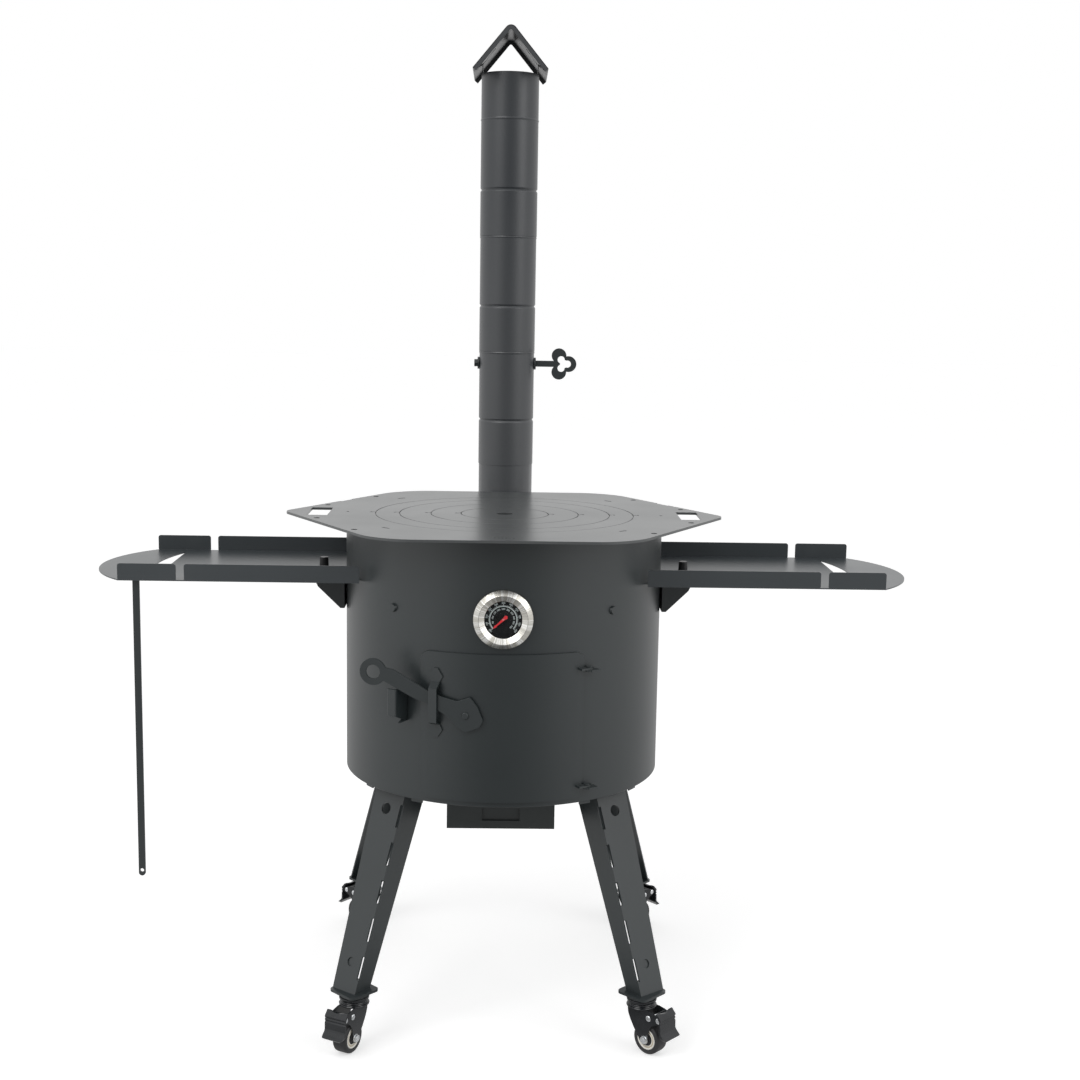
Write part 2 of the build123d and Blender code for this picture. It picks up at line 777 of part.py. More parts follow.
with BuildPart() as top_plate:
    with BuildSketch(Plane.XY.offset(plate_bottom)) as plate_outline:
        with BuildLine():
            Polyline(
                (plate_half_width, 0),
                (plate_corner_x, plate_half_depth),
                (-plate_corner_x, plate_half_depth),
                (-plate_half_width, 0),
                (-plate_corner_x, -plate_half_depth),
                (plate_corner_x, -plate_half_depth),
                close=True,
            )
        make_face()
        side_corners = plate_outline.vertices().filter_by(lambda corner: abs(corner.Y) < plate_tip_radius)
        long_corners = plate_outline.vertices().filter_by(lambda corner: abs(corner.Y) > plate_tip_radius)
        fillet(side_corners, plate_tip_radius)
        fillet(long_corners, plate_corner_radius)
        Circle(ring_lines[0], mode=Mode.SUBTRACT)
        with Locations(*[(side * (hand_hole_inner + hand_hole_width / 2), 0) for side in (-1, 1)]):
            RectangleRounded(hand_hole_width, hand_hole_length, hand_hole_corner, mode=Mode.SUBTRACT)
        for side_x in (-1, 1):
            for side_y in (-1, 1):
                hang_places = [
                    slant_place(along, hang_hole_inset, side_x, side_y)
                    for along in (-hang_hole_spread, hang_hole_spread)
                ]
                with Locations(*hang_places):
                    Circle(hang_hole_radius, mode=Mode.SUBTRACT)
            for along in (-notch_spread / 2, notch_spread / 2):
                with Locations(slant_place(along, 0, side_x, 1)):
                    Rectangle(
                        notch_width, 2 * notch_depth, rotation=side_x * (slant_angle - 90), mode=Mode.SUBTRACT
                    )
            with Locations((side_x * small_hole_place, 0)):
                Circle(small_hole_radius, mode=Mode.SUBTRACT)
        with PolarLocations(drum_radius - drum_wall / 2, 4, start_angle=rim_tab_angle):
            Rectangle(rim_slot_width, rim_slot_length, mode=Mode.SUBTRACT)
        with Locations((0, vent_hole_inset - plate_half_depth)):
            with GridLocations(vent_hole_pitch, vent_hole_pitch, vent_holes, 1):
                Circle(vent_hole_radius, mode=Mode.SUBTRACT)
        ring_notch_cut(ring_lines[0])
    extrude(amount=plate_thickness)
    with BuildSketch(Plane.XY.offset(plate_bottom)):
        Circle(ring_lines[0] + ring_gap)
        Circle(ring_lines[0] - ring_ledge, mode=Mode.SUBTRACT)
        ring_notch_cut(ring_lines[0])
    extrude(amount=plate_thickness / 2)
save(top_plate, "top_plate")

# Rings, each resting on a half-depth ledge of the next one out
ring_names = ("ring_large", "ring_medium", "ring_small")
for ring_name, outer_line, inner_line in zip(ring_names, ring_lines, ring_lines[1:]):
    with BuildPart() as plate_ring:
        with BuildSketch(Plane.XY.offset(plate_middle)):
            Circle(outer_line - ring_gap)
            Circle(inner_line, mode=Mode.SUBTRACT)
            ring_notch_cut(inner_line)
        extrude(amount=plate_thickness / 2)
        with BuildSketch(Plane.XY.offset(plate_bottom)):
            Circle(outer_line - ring_ledge - ring_gap)
            Circle(inner_line - ring_ledge, mode=Mode.SUBTRACT)
            ring_notch_cut(inner_line)
        extrude(amount=plate_thickness / 2)
    save(plate_ring, ring_name)

with BuildPart() as centre_disc:
    with BuildSketch(Plane.XY.offset(plate_middle)):
        Circle(ring_lines[-1] - ring_gap)
        Circle(disc_hole_radius, mode=Mode.SUBTRACT)
    extrude(amount=plate_thickness / 2)
    with BuildSketch(Plane.XY.offset(plate_bottom)):
        Circle(ring_lines[-1] - ring_ledge - ring_gap)
        Circle(disc_hole_radius, mode=Mode.SUBTRACT)
    extrude(amount=plate_thickness / 2)
save(centre_disc, "centre_disc")

# Thermometer on the front of the drum
gauge_back = drum_radius + loose_clearance
gauge_plane = Plane(origin=(0, 0, gauge_height), x_dir=(1, 0, 0), z_dir=(0, -1, 0))
gauge_axis = Axis((0, 0, gauge_height), (0, -1, 0))
dial_front = gauge_back + gauge_case_back + gauge_dial_thickness
glass_front = gauge_back + gauge_window_depth - gauge_lip
needle_back = dial_front + needle_lift
gauge_nut_seat = sqrt(drum_inner**2 - gauge_nut_across**2) - running_clearance

with BuildPart() as gauge_case:
    with BuildSketch(gauge_plane.offset(gauge_back)):
        Circle(gauge_case_radius)
    extrude(amount=gauge_case_depth)
    with BuildSketch(gauge_plane.offset(gauge_back + gauge_case_back)):
        Circle(gauge_dial_radius + running_clearance)
    extrude(amount=gauge_case_depth, mode=Mode.SUBTRACT)
    with BuildSketch(gauge_plane.offset(gauge_back - gauge_stem_length)):
        Circle(gauge_stem_radius)
    extrude(amount=gauge_stem_length)
    with BuildSketch(gauge_plane.offset(gauge_back - gauge_case_back)):
        Circle(needle_pin + running_clearance)
    extrude(amount=2 * gauge_case_back, mode=Mode.SUBTRACT)
    with BuildSketch(gauge_plane.offset(gauge_nut_seat)):
        RegularPolygon(gauge_nut_across / 2, 6, major_radius=False)
        Circle(gauge_stem_radius + running_clearance, mode=Mode.SUBTRACT)
    extrude(amount=-gauge_nut_height)
save(gauge_case, "thermometer_case")

with BuildPart() as gauge_dial:
    with BuildSketch(gauge_plane.offset(gauge_back + gauge_case_back)):
        Circle(gauge_dial_radius)
        Circle(needle_pin + running_clearance, mode=Mode.SUBTRACT)
    extrude(amount=gauge_dial_thickness)
save(gauge_dial, "thermometer_dial")

with BuildPart() as gauge_needle:
    with BuildSketch(gauge_plane.offset(needle_back)) as needle_outline:
        with BuildLine(Plane(origin=(0, 0, 0)).rotated((0, 0, needle_angle))):
            Polyline(
                (needle_length, 0),
                (needle_length - needle_tip_length, needle_tip_width / 2),
                (needle_length - needle_tip_length, needle_neck_width / 2),
                (0, needle_neck_width / 2),
                (-needle_tail, needle_tail_width / 2),
                (-needle_tail, -needle_tail_width / 2),
                (0, -needle_neck_width / 2),
                (needle_length - needle_tip_length, -needle_neck_width / 2),
                (needle_length - needle_tip_length, -needle_tip_width / 2),
                close=True,
            )
        make_face()
        Circle(needle_hub)
    extrude(amount=needle_thickness)
    with BuildSketch(gauge_plane.offset(gauge_back - gauge_case_back / 2)):
        Circle(needle_pin)
    extrude(amount=needle_back - gauge_back + gauge_case_back / 2)
save(gauge_needle, "thermometer_needle")

with BuildPart() as gauge_glass:
    with BuildSketch(gauge_plane.offset(glass_front)):
        Circle(gauge_glass_radius)
    extrude(amount=-gauge_glass_thickness)
save(gauge_glass, "thermometer_glass")

with BuildPart() as gauge_bezel:
    with BuildSketch(Plane.YZ):
        with BuildLine():
            Polyline(
                (-gauge_back, gauge_height + gauge_case_radius + running_clearance),
                (-gauge_back, gauge_height + gauge_radius),
                (-(gauge_back + gauge_edge_depth), gauge_height + gauge_radius),
                (-(gauge_back + gauge_crest_depth), gauge_height + gauge_crest_radius),
                (-(gauge_back + gauge_window_depth), gauge_height + gauge_window_radius),
                (-glass_front, gauge_height + gauge_window_radius),
                (-glass_front, gauge_height + gauge_case_radius + running_clearance),
                close=True,
            )
        make_face()
    revolve(axis=gauge_axis)
save(gauge_bezel, "thermometer_bezel")

# Door panel with its two hinge lugs
hinge_turn = radians(hinge_angle)
hinge_x = hinge_radius * sin(hinge_turn)
hinge_y = -hinge_radius * cos(hinge_turn)
hinge_spot = Plane(origin=(hinge_x, hinge_y, 0), x_dir=(cos(hinge_turn), sin(hinge_turn), 0), z_dir=(0, 0, 1))


def hinge_lug_outline(side, keep_off):
    """Rounded lug from the pin towards the door (side -1) or the drum (side 1), clear of a round wall."""
    Circle(hinge_lug_radius)
    with Locations((side * hinge_lug_reach / 2, -hinge_lug_radius / 2)):
        Rectangle(hinge_lug_reach, 3 * hinge_lug_radius)
    Circle(hinge_pin_radius + running_clearance, mode=Mode.SUBTRACT)
    with Locations((0, -hinge_radius)):
        Circle(keep_off, mode=Mode.SUBTRACT)


rivet_plane = drum_plane(latch_angle, latch_height)
with BuildPart() as door_panel:
    with BuildSketch(Plane.XY.offset(door_bottom)):
        Circle(door_outer)
        Circle(door_inner, mode=Mode.SUBTRACT)
    extrude(amount=door_top - door_bottom)
    with BuildSketch(Plane.XZ):
        with Locations((0, (door_bottom + door_top) / 2)):
            RectangleRounded(2 * door_half_width, door_top - door_bottom, door_corner)
    extrude(amount=door_outer + overrun, mode=Mode.INTERSECT)
    with BuildSketch(rivet_plane):
        Circle(latch_rivet_radius + running_clearance)
    extrude(amount=door_outer + overrun, mode=Mode.SUBTRACT)
    for hinge_height in hinge_heights:
        with BuildSketch(hinge_spot.offset(hinge_height)):
            hinge_lug_outline(-1, door_outer)
        extrude(amount=hinge_lug_thickness)
save(door_panel, "door_panel")

with BuildPart() as hinge_lugs:
    for hinge_height in hinge_heights:
        pin_bottom = hinge_height - hinge_lug_thickness
        pin_top = hinge_height + hinge_lug_thickness + running_clearance
        with BuildSketch(hinge_spot.offset(pin_bottom)):
            hinge_lug_outline(1, drum_radius)
            Circle(hinge_pin_radius + 2 * running_clearance)
        extrude(amount=hinge_lug_thickness)
        with BuildSketch(hinge_spot.offset(pin_bottom)):
            Circle(hinge_pin_radius)
        extrude(amount=pin_top - pin_bottom)
        with BuildSketch(hinge_spot.offset(pin_top)):
            Circle(hinge_pin_head)
        extrude(amount=hinge_pin_head_height)
save(hinge_lugs, "hinge_lugs")

# Latch lever, flat, with a ring handle and a leaf-shaped root at its rivet
lever_back = drum_radius + latch_standoff
lever_front = lever_back + latch_sheet
lever_points = [(across_share * latch_reach, up_share * latch_reach) for across_share, up_share in lever_shares]
with BuildPart() as latch_lever:
    with BuildSketch(rivet_plane.offset(lever_back)) as lever_outline:
        with BuildLine():
            Polyline(*lever_points, close=True)
        make_face()
        leaf_corners = lever_outline.vertices().filter_by(lambda corner: corner.X > -latch_reach / 2)
        fillet(leaf_corners, latch_corner)
        with Locations((-latch_reach, latch_ring_up)):
            Circle(latch_ring_radius)
            Circle(latch_ring_hole, mode=Mode.SUBTRACT)
        Circle(latch_rivet_radius + running_clearance, mode=Mode.SUBTRACT)
    extrude(amount=latch_sheet)
save(latch_lever, "latch_lever")

with BuildPart() as latch_rivet:
    with BuildSketch(rivet_plane.offset(door_outer - door_sheet - latch_rivet_head_height)):
        Circle(latch_rivet_radius)
    extrude(amount=lever_front + running_clearance - door_outer + door_sheet + latch_rivet_head_height)
    with BuildSketch(rivet_plane.offset(lever_front + running_clearance)):
        Circle(latch_rivet_head)
    extrude(amount=latch_rivet_head_height, taper=25)
    with BuildSketch(rivet_plane.offset(door_outer)):
        Circle(latch_collar_radius)
    extrude(amount=lever_back - door_outer - running_clearance)
    with BuildSketch(rivet_plane.offset(door_inner - running_clearance - latch_rivet_head_height)):
        Circle(latch_rivet_head)
    extrude(amount=latch_rivet_head_height - loose_clearance)
save(latch_rivet, "latch_rivet")

# Latch guide, a strap on the door over the lever
guide_turn = asin(guide_beside / lever_front)
guide_plane = drum_plane(latch_angle - degrees(guide_turn), latch_height)
guide_inside = (lever_front + guide_width / 2 * sin(guide_turn)) / cos(guide_turn) + loose_clearance
guide_outside = guide_inside + guide_sheet
guide_side = Plane(origin=guide_plane.origin, x_dir=guide_plane.z_dir, z_dir=-guide_plane.x_dir)
guide_start = drum_radius - hinge_out
with BuildPart() as latch_guide:
    with BuildSketch(guide_side):
        with BuildLine():
            Polyline(
                (guide_start, guide_top + guide_top_slope + guide_sheet),
                (door_outer, guide_top + guide_top_slope + guide_sheet),
                (guide_outside, guide_top + guide_sheet / 2),
                (guide_outside, -guide_bottom - guide_sheet / 2),
                (door_outer, -guide_bottom - guide_bottom_slope - guide_sheet),
                (guide_start, -guide_bottom - guide_bottom_slope - guide_sheet),
                (guide_start, -guide_bottom - guide_bottom_slope),
                (door_outer, -guide_bottom - guide_bottom_slope),
                (guide_inside, -guide_bottom),
                (guide_inside, guide_top),
                (door_outer, guide_top + guide_top_slope),
                (guide_start, guide_top + guide_top_slope),
                close=True,
            )
        make_face()
    extrude(amount=guide_width / 2, both=True)
    for side, leg_end in ((1, guide_top + guide_top_slope), (-1, guide_bottom + guide_bottom_slope)):
        with BuildSketch(guide_plane.offset(guide_start)):
            with BuildLine():
                Polyline(
                    (-guide_width / 2, side * leg_end),
                    (-guide_foot_width / 2, side * (leg_end + guide_foot_flare)),
                    (-guide_width / 4, side * (leg_end + guide_foot_length)),
                    (guide_width / 4, side * (leg_end + guide_foot_length)),
                    (guide_foot_width / 2, side * (leg_end + guide_foot_flare)),
                    (guide_width / 2, side * leg_end),
                    close=True,
                )
            make_face()
        extrude(amount=door_outer + guide_sheet - guide_start)
    with BuildSketch(Plane.XY.offset(door_bottom)):
        Circle(door_outer)
    extrude(amount=door_top - door_bottom, mode=Mode.SUBTRACT)
save(latch_guide, "latch_guide")

# Latch catch, a plate that stands out of the drum. The lever's straight lower edge lies on it.
catch_turn = radians(catch_angle)
catch_plane = Plane(
    origin=(0, 0, 0), x_dir=(sin(catch_turn), -cos(catch_turn), 0), z_dir=(-cos(catch_turn), -sin(catch_turn), 0)
)
lever_turn = radians(latch_angle) - catch_turn
catch_reach = lever_front / cos(lever_turn) - drum_radius + catch_past
seat_right, seat_left = [lever_points[number] for number in lever_seat_points]
seat_slope = (seat_left[1] - seat_right[1]) / (seat_left[0] - seat_right[0])
seat_across = catch_sheet - lever_back * tan(lever_turn)
catch_seat = latch_height + seat_right[1] + seat_slope * (seat_across - seat_right[0]) - catch_gap
catch_bottom = catch_seat - catch_height
with BuildPart() as latch_catch:
    with BuildSketch(catch_plane):
        with BuildLine():
            Polyline(
                (drum_radius + running_clearance, catch_bottom),
                (drum_radius + catch_root, catch_bottom),
                (drum_radius + catch_reach, catch_seat - catch_nose),
                (drum_radius + catch_reach, catch_seat),
                (drum_radius + running_clearance, catch_seat),
                close=True,
            )
        make_face()
    extrude(amount=catch_sheet / 2, both=True)
save(latch_catch, "latch_catch")

# Ash drawer housing under the floor and the drawer in it
housing_length = ash_front + ash_back
housing_middle = (ash_back - ash_front) / 2
housing_height = drum_bottom - ash_bottom
with BuildPart() as ash_housing:
    with BuildSketch(Plane.XY.offset(ash_bottom)):
        with Locations((0, housing_middle)):
            Rectangle(2 * ash_half_width, housing_length)
    extrude(amount=housing_height)
    with BuildSketch(Plane.XY.offset(ash_bottom + ash_sheet)):
        with Locations((0, housing_middle - ash_sheet)):
            Rectangle(2 * (ash_half_width - ash_sheet), housing_length)
    extrude(amount=housing_height, mode=Mode.SUBTRACT)
save(ash_housing, "ash_housing")

drawer_half = ash_half_width - ash_sheet - ash_gap
drawer_bottom = ash_bottom + ash_sheet + running_clearance
drawer_back = ash_back - ash_sheet - ash_gap
front_top = drum_bottom - lip_depth
with BuildPart() as ash_drawer:
    with BuildSketch(Plane.XY.offset(drawer_bottom)):
        with Locations((0, (drawer_back - ash_front) / 2)):
            Rectangle(2 * drawer_half, drawer_back + ash_front)
    extrude(amount=ash_tray_height)
    with BuildSketch(Plane.XY.offset(drawer_bottom + ash_sheet)):
        with Locations((0, (drawer_back - ash_front) / 2)):
            Rectangle(2 * (drawer_half - ash_sheet), drawer_back + ash_front - 2 * ash_sheet)
    extrude(amount=ash_tray_height, mode=Mode.SUBTRACT)
    with BuildSketch(Plane.XZ.offset(ash_front)):
        with Locations((0, (ash_bottom + front_top) / 2)):
            Rectangle(2 * ash_half_width, front_top - ash_bottom)
    extrude(amount=ash_front_sheet)
    with BuildSketch(Plane.XZ.offset(ash_front - ash_sheet - overrun)):
        with Locations((0, ash_pull_middle)):
            Rectangle(ash_pull_width, ash_pull_height)
    extrude(amount=ash_front_sheet + ash_sheet + 2 * overrun, mode=Mode.SUBTRACT)
    pull_top = ash_pull_middle + ash_pull_height / 2
    with BuildSketch(Plane.XY.offset(pull_top)):
        with Locations((0, ash_pull_depth / 2 - ash_front)):
            Rectangle(ash_pull_width, ash_pull_depth)
    extrude(amount=ash_sheet)
save(ash_drawer, "ash_drawer")


# Legs. Each is drawn in the front right quarter and mirrored to its place.
def leg_frame(foot_spot):
    """Top and foot of a leg's bent edge, its outward direction and its sideways direction."""
    top_point = Vector(leg_top_radius * sin(radians(45)), -leg_top_radius * cos(radians(45)), drum_bottom)
    foot_point = Vector(foot_spot[0], -foot_spot[1], foot_top)
    run = hypot(foot_point.X - top_point.X, foot_point.Y - top_point.Y)
    outward = Vector((foot_point.X - top_point.X) / run, (foot_point.Y - top_point.Y) / run, 0)
    sideways = Vector(-outward.Y, outward.X, 0)
    return top_point, foot_point, outward, sideways, run


def foot_centre(foot_spot):
    """Middle of the foot plate, which is also the castor's swivel axis."""
    _, foot_point, outward, sideways, _ = leg_frame(foot_spot)
    return foot_point + (sideways - outward) * foot_inset


def make_leg(foot_spot):
    top_point, foot_point, outward, sideways, run = leg_frame(foot_spot)
    fall = top_point.Z - foot_point.Z
    length = hypot(run, fall)
    face_out = (outward * fall + Vector(0, 0, run)) / length
    outer_plane = Plane(origin=top_point, x_dir=sideways, z_dir=face_out)
    inner_plane = Plane(origin=top_point, x_dir=outward, z_dir=-sideways)
    outer_taper = (leg_outer_top - leg_outer_bottom) / length
    inner_taper = (leg_inner_top - leg_inner_bottom) / fall
    lean = run / fall
    past = overrun + leg_sheet
    centre = foot_centre(foot_spot)
    with BuildPart() as leg:
        with BuildSketch(outer_plane):
            with BuildLine():
                Polyline(
                    (0, past),
                    (leg_outer_top + outer_taper * past, past),
                    (leg_outer_bottom - outer_taper * past, -length - past),
                    (0, -length - past),
                    close=True,
                )
            make_face()
            with Locations((leg_outer_top / 2, -leg_hole_down)):
                Circle(leg_hole_radius, mode=Mode.SUBTRACT)
        extrude(amount=-leg_sheet)
        with BuildSketch(inner_plane):
            with BuildLine():
                Polyline(
                    (-lean * past, past),
                    (-leg_inner_top - lean * past, past),
                    (run + lean * past - leg_inner_bottom + inner_taper * past, -fall - past),
                    (run + lean * past, -fall - past),
                    close=True,
                )
            make_face()
        extrude(amount=-leg_sheet)
        with BuildSketch(outer_plane):
            for slot in range(leg_slots):
                with Locations((0, -leg_slot_first - slot * leg_slot_pitch)):
                    Rectangle(2 * leg_slot_width, leg_slot_length)
        extrude(amount=-leg_slot_width, mode=Mode.SUBTRACT)
        with BuildSketch(outer_plane):
            with Locations((leg_outer_bottom / 2, -length + leg_dimple_up)):
                Circle(leg_dimple_radius)
        extrude(amount=-leg_dimple_depth, mode=Mode.SUBTRACT)
        split(bisect_by=Plane.XY.offset(drum_bottom), keep=Keep.BOTTOM)
        split(bisect_by=Plane.XY.offset(foot_top), keep=Keep.TOP)
        foot_plane = Plane(origin=(centre.X, centre.Y, foot_bottom), x_dir=(1, -1, 0), z_dir=(0, 0, 1))
        with BuildSketch(foot_plane):
            RectangleRounded(foot_side, foot_side, foot_corner_radius)
            Circle(king_pin_radius + running_clearance, mode=Mode.SUBTRACT)
        extrude(amount=foot_thickness)
    return leg


front_leg = make_leg(leg_foot_front)
rear_leg = make_leg(leg_foot_back)
save(front_leg, "leg_front_right")
with BuildPart() as leg_front_left:
    mirror(front_leg.part, about=Plane.YZ)
save(leg_front_left, "leg_front_left")
with BuildPart() as leg_rear_right:
    mirror(rear_leg.part, about=Plane.XZ)
save(leg_rear_right, "leg_rear_right")
with BuildPart() as leg_rear_left:
    mirror(leg_rear_right.part, about=Plane.YZ)
save(leg_rear_left, "leg_rear_left")

# Castors, by corner: swivel axis and the direction in which the wheel trails
front_spot = foot_centre(leg_foot_front)
rear_spot = foot_centre(leg_foot_back)
castor_places = {
    "front_right": (front_spot.X, front_spot.Y, -44.0),
    "front_left": (-front_spot.X, front_spot.Y, -118.0),
    "rear_right": (rear_spot.X, -rear_spot.Y, 41.0),
    "rear_left": (-rear_spot.X, -rear_spot.Y, 140.0),
}
king_pin_bottom = fork_top_height - fork_sheet - king_pin_head_height - running_clearance
with BuildPart() as castor_heads:
    for x, y, _ in castor_places.values():
        with BuildSketch(Plane(origin=(x, y, head_bottom))):
            Circle(castor_head_radius)
        extrude(amount=castor_head_height)
        with BuildSketch(Plane(origin=(x, y, king_pin_bottom))):
            Circle(king_pin_radius)
        extrude(amount=foot_top + nut_height - king_pin_bottom)
        with BuildSketch(Plane(origin=(x, y, king_pin_bottom))):
            Circle(king_pin_head)
        extrude(amount=king_pin_head_height)
        with BuildSketch(Plane(origin=(x, y, foot_top))):
            RegularPolygon(nut_across / 2, 6, major_radius=False)
        extrude(amount=nut_height)
save(castor_heads, "castor_heads")

cheek_inner = wheel_width / 2 + fork_side_gap
cheek_outer = cheek_inner + fork_sheet
axle_reach = cheek_outer + axle_head_height
for corner, (x, y, trail_angle) in castor_places.items():
    turn = radians(trail_angle)
    # Side plane: X along the trail, Y up, facing the castor's right
    side_plane = Plane(origin=(x, y, 0), x_dir=(cos(turn), sin(turn), 0), z_dir=(sin(turn), -cos(turn), 0))
    level_plane = Plane(origin=(x, y, 0), x_dir=(cos(turn), sin(turn), 0), z_dir=(0, 0, 1))
    with BuildPart() as fork:
        with BuildSketch(level_plane.offset(fork_top_height - fork_sheet)):
            Circle(castor_head_radius)
            with Locations((castor_head_radius / 2, 0)):
                Rectangle(castor_head_radius, 2 * cheek_outer)
            Circle(king_pin_radius + running_clearance, mode=Mode.SUBTRACT)
        extrude(amount=fork_sheet)
        with BuildSketch(level_plane.offset(fork_top_height)):
            Circle(castor_head_radius - fork_sheet)
            Circle(king_pin_radius + running_clearance, mode=Mode.SUBTRACT)
        extrude(amount=head_bottom - fork_top_height - running_clearance)
        for side in (-1, 1):
            with BuildSketch(side_plane.offset(side * cheek_inner)):
                with BuildLine():
                    Polyline(
                        (-castor_head_radius / 2, fork_top_height),
                        (castor_head_radius, fork_top_height),
                        (brake_pivot_out + fork_neck, brake_pivot_height + fork_neck / 2),
                        (brake_pivot_out + fork_neck, brake_pivot_height - fork_neck),
                        (castor_trail + fork_boss_radius, wheel_radius),
                        (castor_trail - fork_boss_radius, wheel_radius),
                        close=True,
                    )
                make_face()
                with Locations((castor_trail, wheel_radius)):
                    Circle(fork_boss_radius)
                    Circle(axle_radius + running_clearance, mode=Mode.SUBTRACT)
                with Locations((brake_pivot_out, brake_pivot_height), (brake_rivet_out, brake_rivet_height)):
                    Circle(brake_rivet_radius + running_clearance, mode=Mode.SUBTRACT)
            extrude(amount=side * fork_sheet)
    save(fork, f"castor_fork_{corner}")

    with BuildPart() as axle:
        with BuildSketch(side_plane.offset(-cheek_outer)):
            with Locations((castor_trail, wheel_radius)):
                Circle(axle_radius)
        extrude(amount=2 * cheek_outer)
        with BuildSketch(side_plane.offset(-cheek_outer - brake_rivet_head_height)):
            with Locations((brake_pivot_out, brake_pivot_height), (brake_rivet_out, brake_rivet_height)):
                Circle(brake_rivet_radius)
        extrude(amount=2 * (cheek_outer + brake_rivet_head_height))
        for side in (-1, 1):
            with BuildSketch(side_plane.offset(side * cheek_outer)):
                with Locations((castor_trail, wheel_radius)):
                    RegularPolygon(axle_head_radius, 6)
            extrude(amount=side * axle_head_height)
            with BuildSketch(side_plane.offset(side * cheek_outer)):
                with Locations((brake_pivot_out, brake_pivot_height), (brake_rivet_out, brake_rivet_height)):
                    Circle(brake_rivet_head)
            extrude(amount=side * brake_rivet_head_height)
    save(axle, f"castor_axle_{corner}")

    with BuildPart() as wheel:
        with BuildSketch(side_plane.offset(-wheel_width / 2)):
            with Locations((castor_trail, wheel_radius)):
                Circle(wheel_radius)
                Circle(axle_radius + running_clearance, mode=Mode.SUBTRACT)
        extrude(amount=wheel_width)
        tyre_edges = wheel.edges().filter_by(GeomType.CIRCLE).group_by(SortBy.RADIUS)[-1]
        fillet(tyre_edges, wheel_edge_radius)
        for side in (-1, 1):
            with BuildSketch(side_plane.offset(side * wheel_width / 2)):
                with Locations((castor_trail, wheel_radius)):
                    Circle(wheel_dish_radius)
                    Circle(hub_radius, mode=Mode.SUBTRACT)
            extrude(amount=-side * wheel_dish_depth, mode=Mode.SUBTRACT)
    save(wheel, f"castor_wheel_{corner}")

    # Brake pedal: a bent plate that turns on the outer rivet, with a cam tube between the cheeks
    with BuildPart() as pedal:
        with BuildSketch(side_plane.offset(-(cheek_inner - loose_clearance))):
            with Locations((brake_pivot_out, brake_pivot_height)):
                Circle(pedal_hub_radius)
                Circle(brake_rivet_radius + running_clearance, mode=Mode.SUBTRACT)
        extrude(amount=2 * (cheek_inner - loose_clearance))
        with BuildSketch(side_plane.offset(-pedal_width / 2)):
            with BuildLine():
                Polyline(
                    (pedal_inner - pedal_top_in, pedal_top),
                    (pedal_outer - pedal_top_in, pedal_top),
                    (pedal_outer, pedal_ridge),
                    (pedal_outer, pedal_bend),
                    (pedal_outer + pedal_lip_out, pedal_lip),
                    (pedal_inner + pedal_lip_out, pedal_lip - pedal_sheet),
                    (pedal_inner, pedal_bend - pedal_sheet / 2),
                    (pedal_inner, pedal_ridge - pedal_sheet / 2),
                    close=True,
                )
            make_face()
        extrude(amount=pedal_width)
        for side in (-1, 1):
            with BuildSketch(side_plane.offset(side * pedal_width / 2)):
                with Locations((pedal_outer - pedal_top_in - pedal_sheet / 2, pedal_top + pedal_ear_rise / 2)):
                    Rectangle(pedal_sheet, pedal_ear_rise)
            extrude(amount=-side * pedal_ear)
        with BuildSketch(side_plane.offset(-(cheek_inner - loose_clearance))):
            with Locations(((brake_pivot_out + pedal_outer) / 2, brake_pivot_height)):
                Rectangle(pedal_outer - brake_pivot_out, pedal_sheet)
            with Locations((brake_pivot_out, brake_pivot_height)):
                Circle(brake_rivet_radius + running_clearance, mode=Mode.SUBTRACT)
        extrude(amount=2 * (cheek_inner - loose_clearance))
    save(pedal, f"brake_pedal_{corner}")

# Side tables. The right one is drawn, the left one is its mirror image with a slot for the poker.
table_bottom = table_top - table_sheet
hug_radius = drum_radius + table_hug
hug_x = sqrt(hug_radius**2 - table_hug_half**2)
flange_runs = ((table_start, table_gap_start), (table_gap_end, table_end))
with BuildPart() as right_table:
    with BuildSketch(Plane.XY.offset(table_bottom)):
        with BuildLine():
            Line((hug_x, -table_hug_half), (table_start, -table_half_width))
            Line((table_start, -table_half_width), (table_end, -table_half_width))
            ThreePointArc((table_end, -table_half_width), (table_reach, 0), (table_end, table_half_width))
            Line((table_end, table_half_width), (table_start, table_half_width))
            Line((table_start, table_half_width), (hug_x, table_hug_half))
            ThreePointArc((hug_x, table_hug_half), (hug_radius, 0), (hug_x, -table_hug_half))
        make_face()
        with BuildLine():
            Line((grip_start, -grip_half), (grip_start, grip_half))
            ThreePointArc((grip_start, grip_half), (grip_start + grip_bulge, 0), (grip_start, -grip_half))
        make_face(mode=Mode.SUBTRACT)
        with Locations((thumb_out, 0)):
            Circle(thumb_stud_radius + running_clearance, mode=Mode.SUBTRACT)
    extrude(amount=table_sheet)
    for side in (-1, 1):
        flange_out = side * (table_half_width - table_sheet / 2)
        for run_start, run_end in flange_runs:
            with BuildSketch(Plane.XZ.offset(-flange_out - table_sheet / 2)) as flange_outline:
                with Locations(((run_start + run_end) / 2, (table_bottom + table_flange_top) / 2)):
                    Rectangle(run_end - run_start, table_flange_top - table_bottom)
                fillet(flange_outline.vertices().group_by(Axis.Z)[-1], table_flange_radius)
            extrude(amount=table_sheet)
save(right_table, "table_right")

with BuildPart() as left_table:
    mirror(right_table.part, about=Plane.YZ)
    with BuildSketch(Plane.XY.offset(table_bottom)):
        with Locations((-poker_out, -poker_back)):
            Rectangle(poker_slot_length, poker_slot_width)
    extrude(amount=table_sheet, mode=Mode.SUBTRACT)
save(left_table, "table_left")

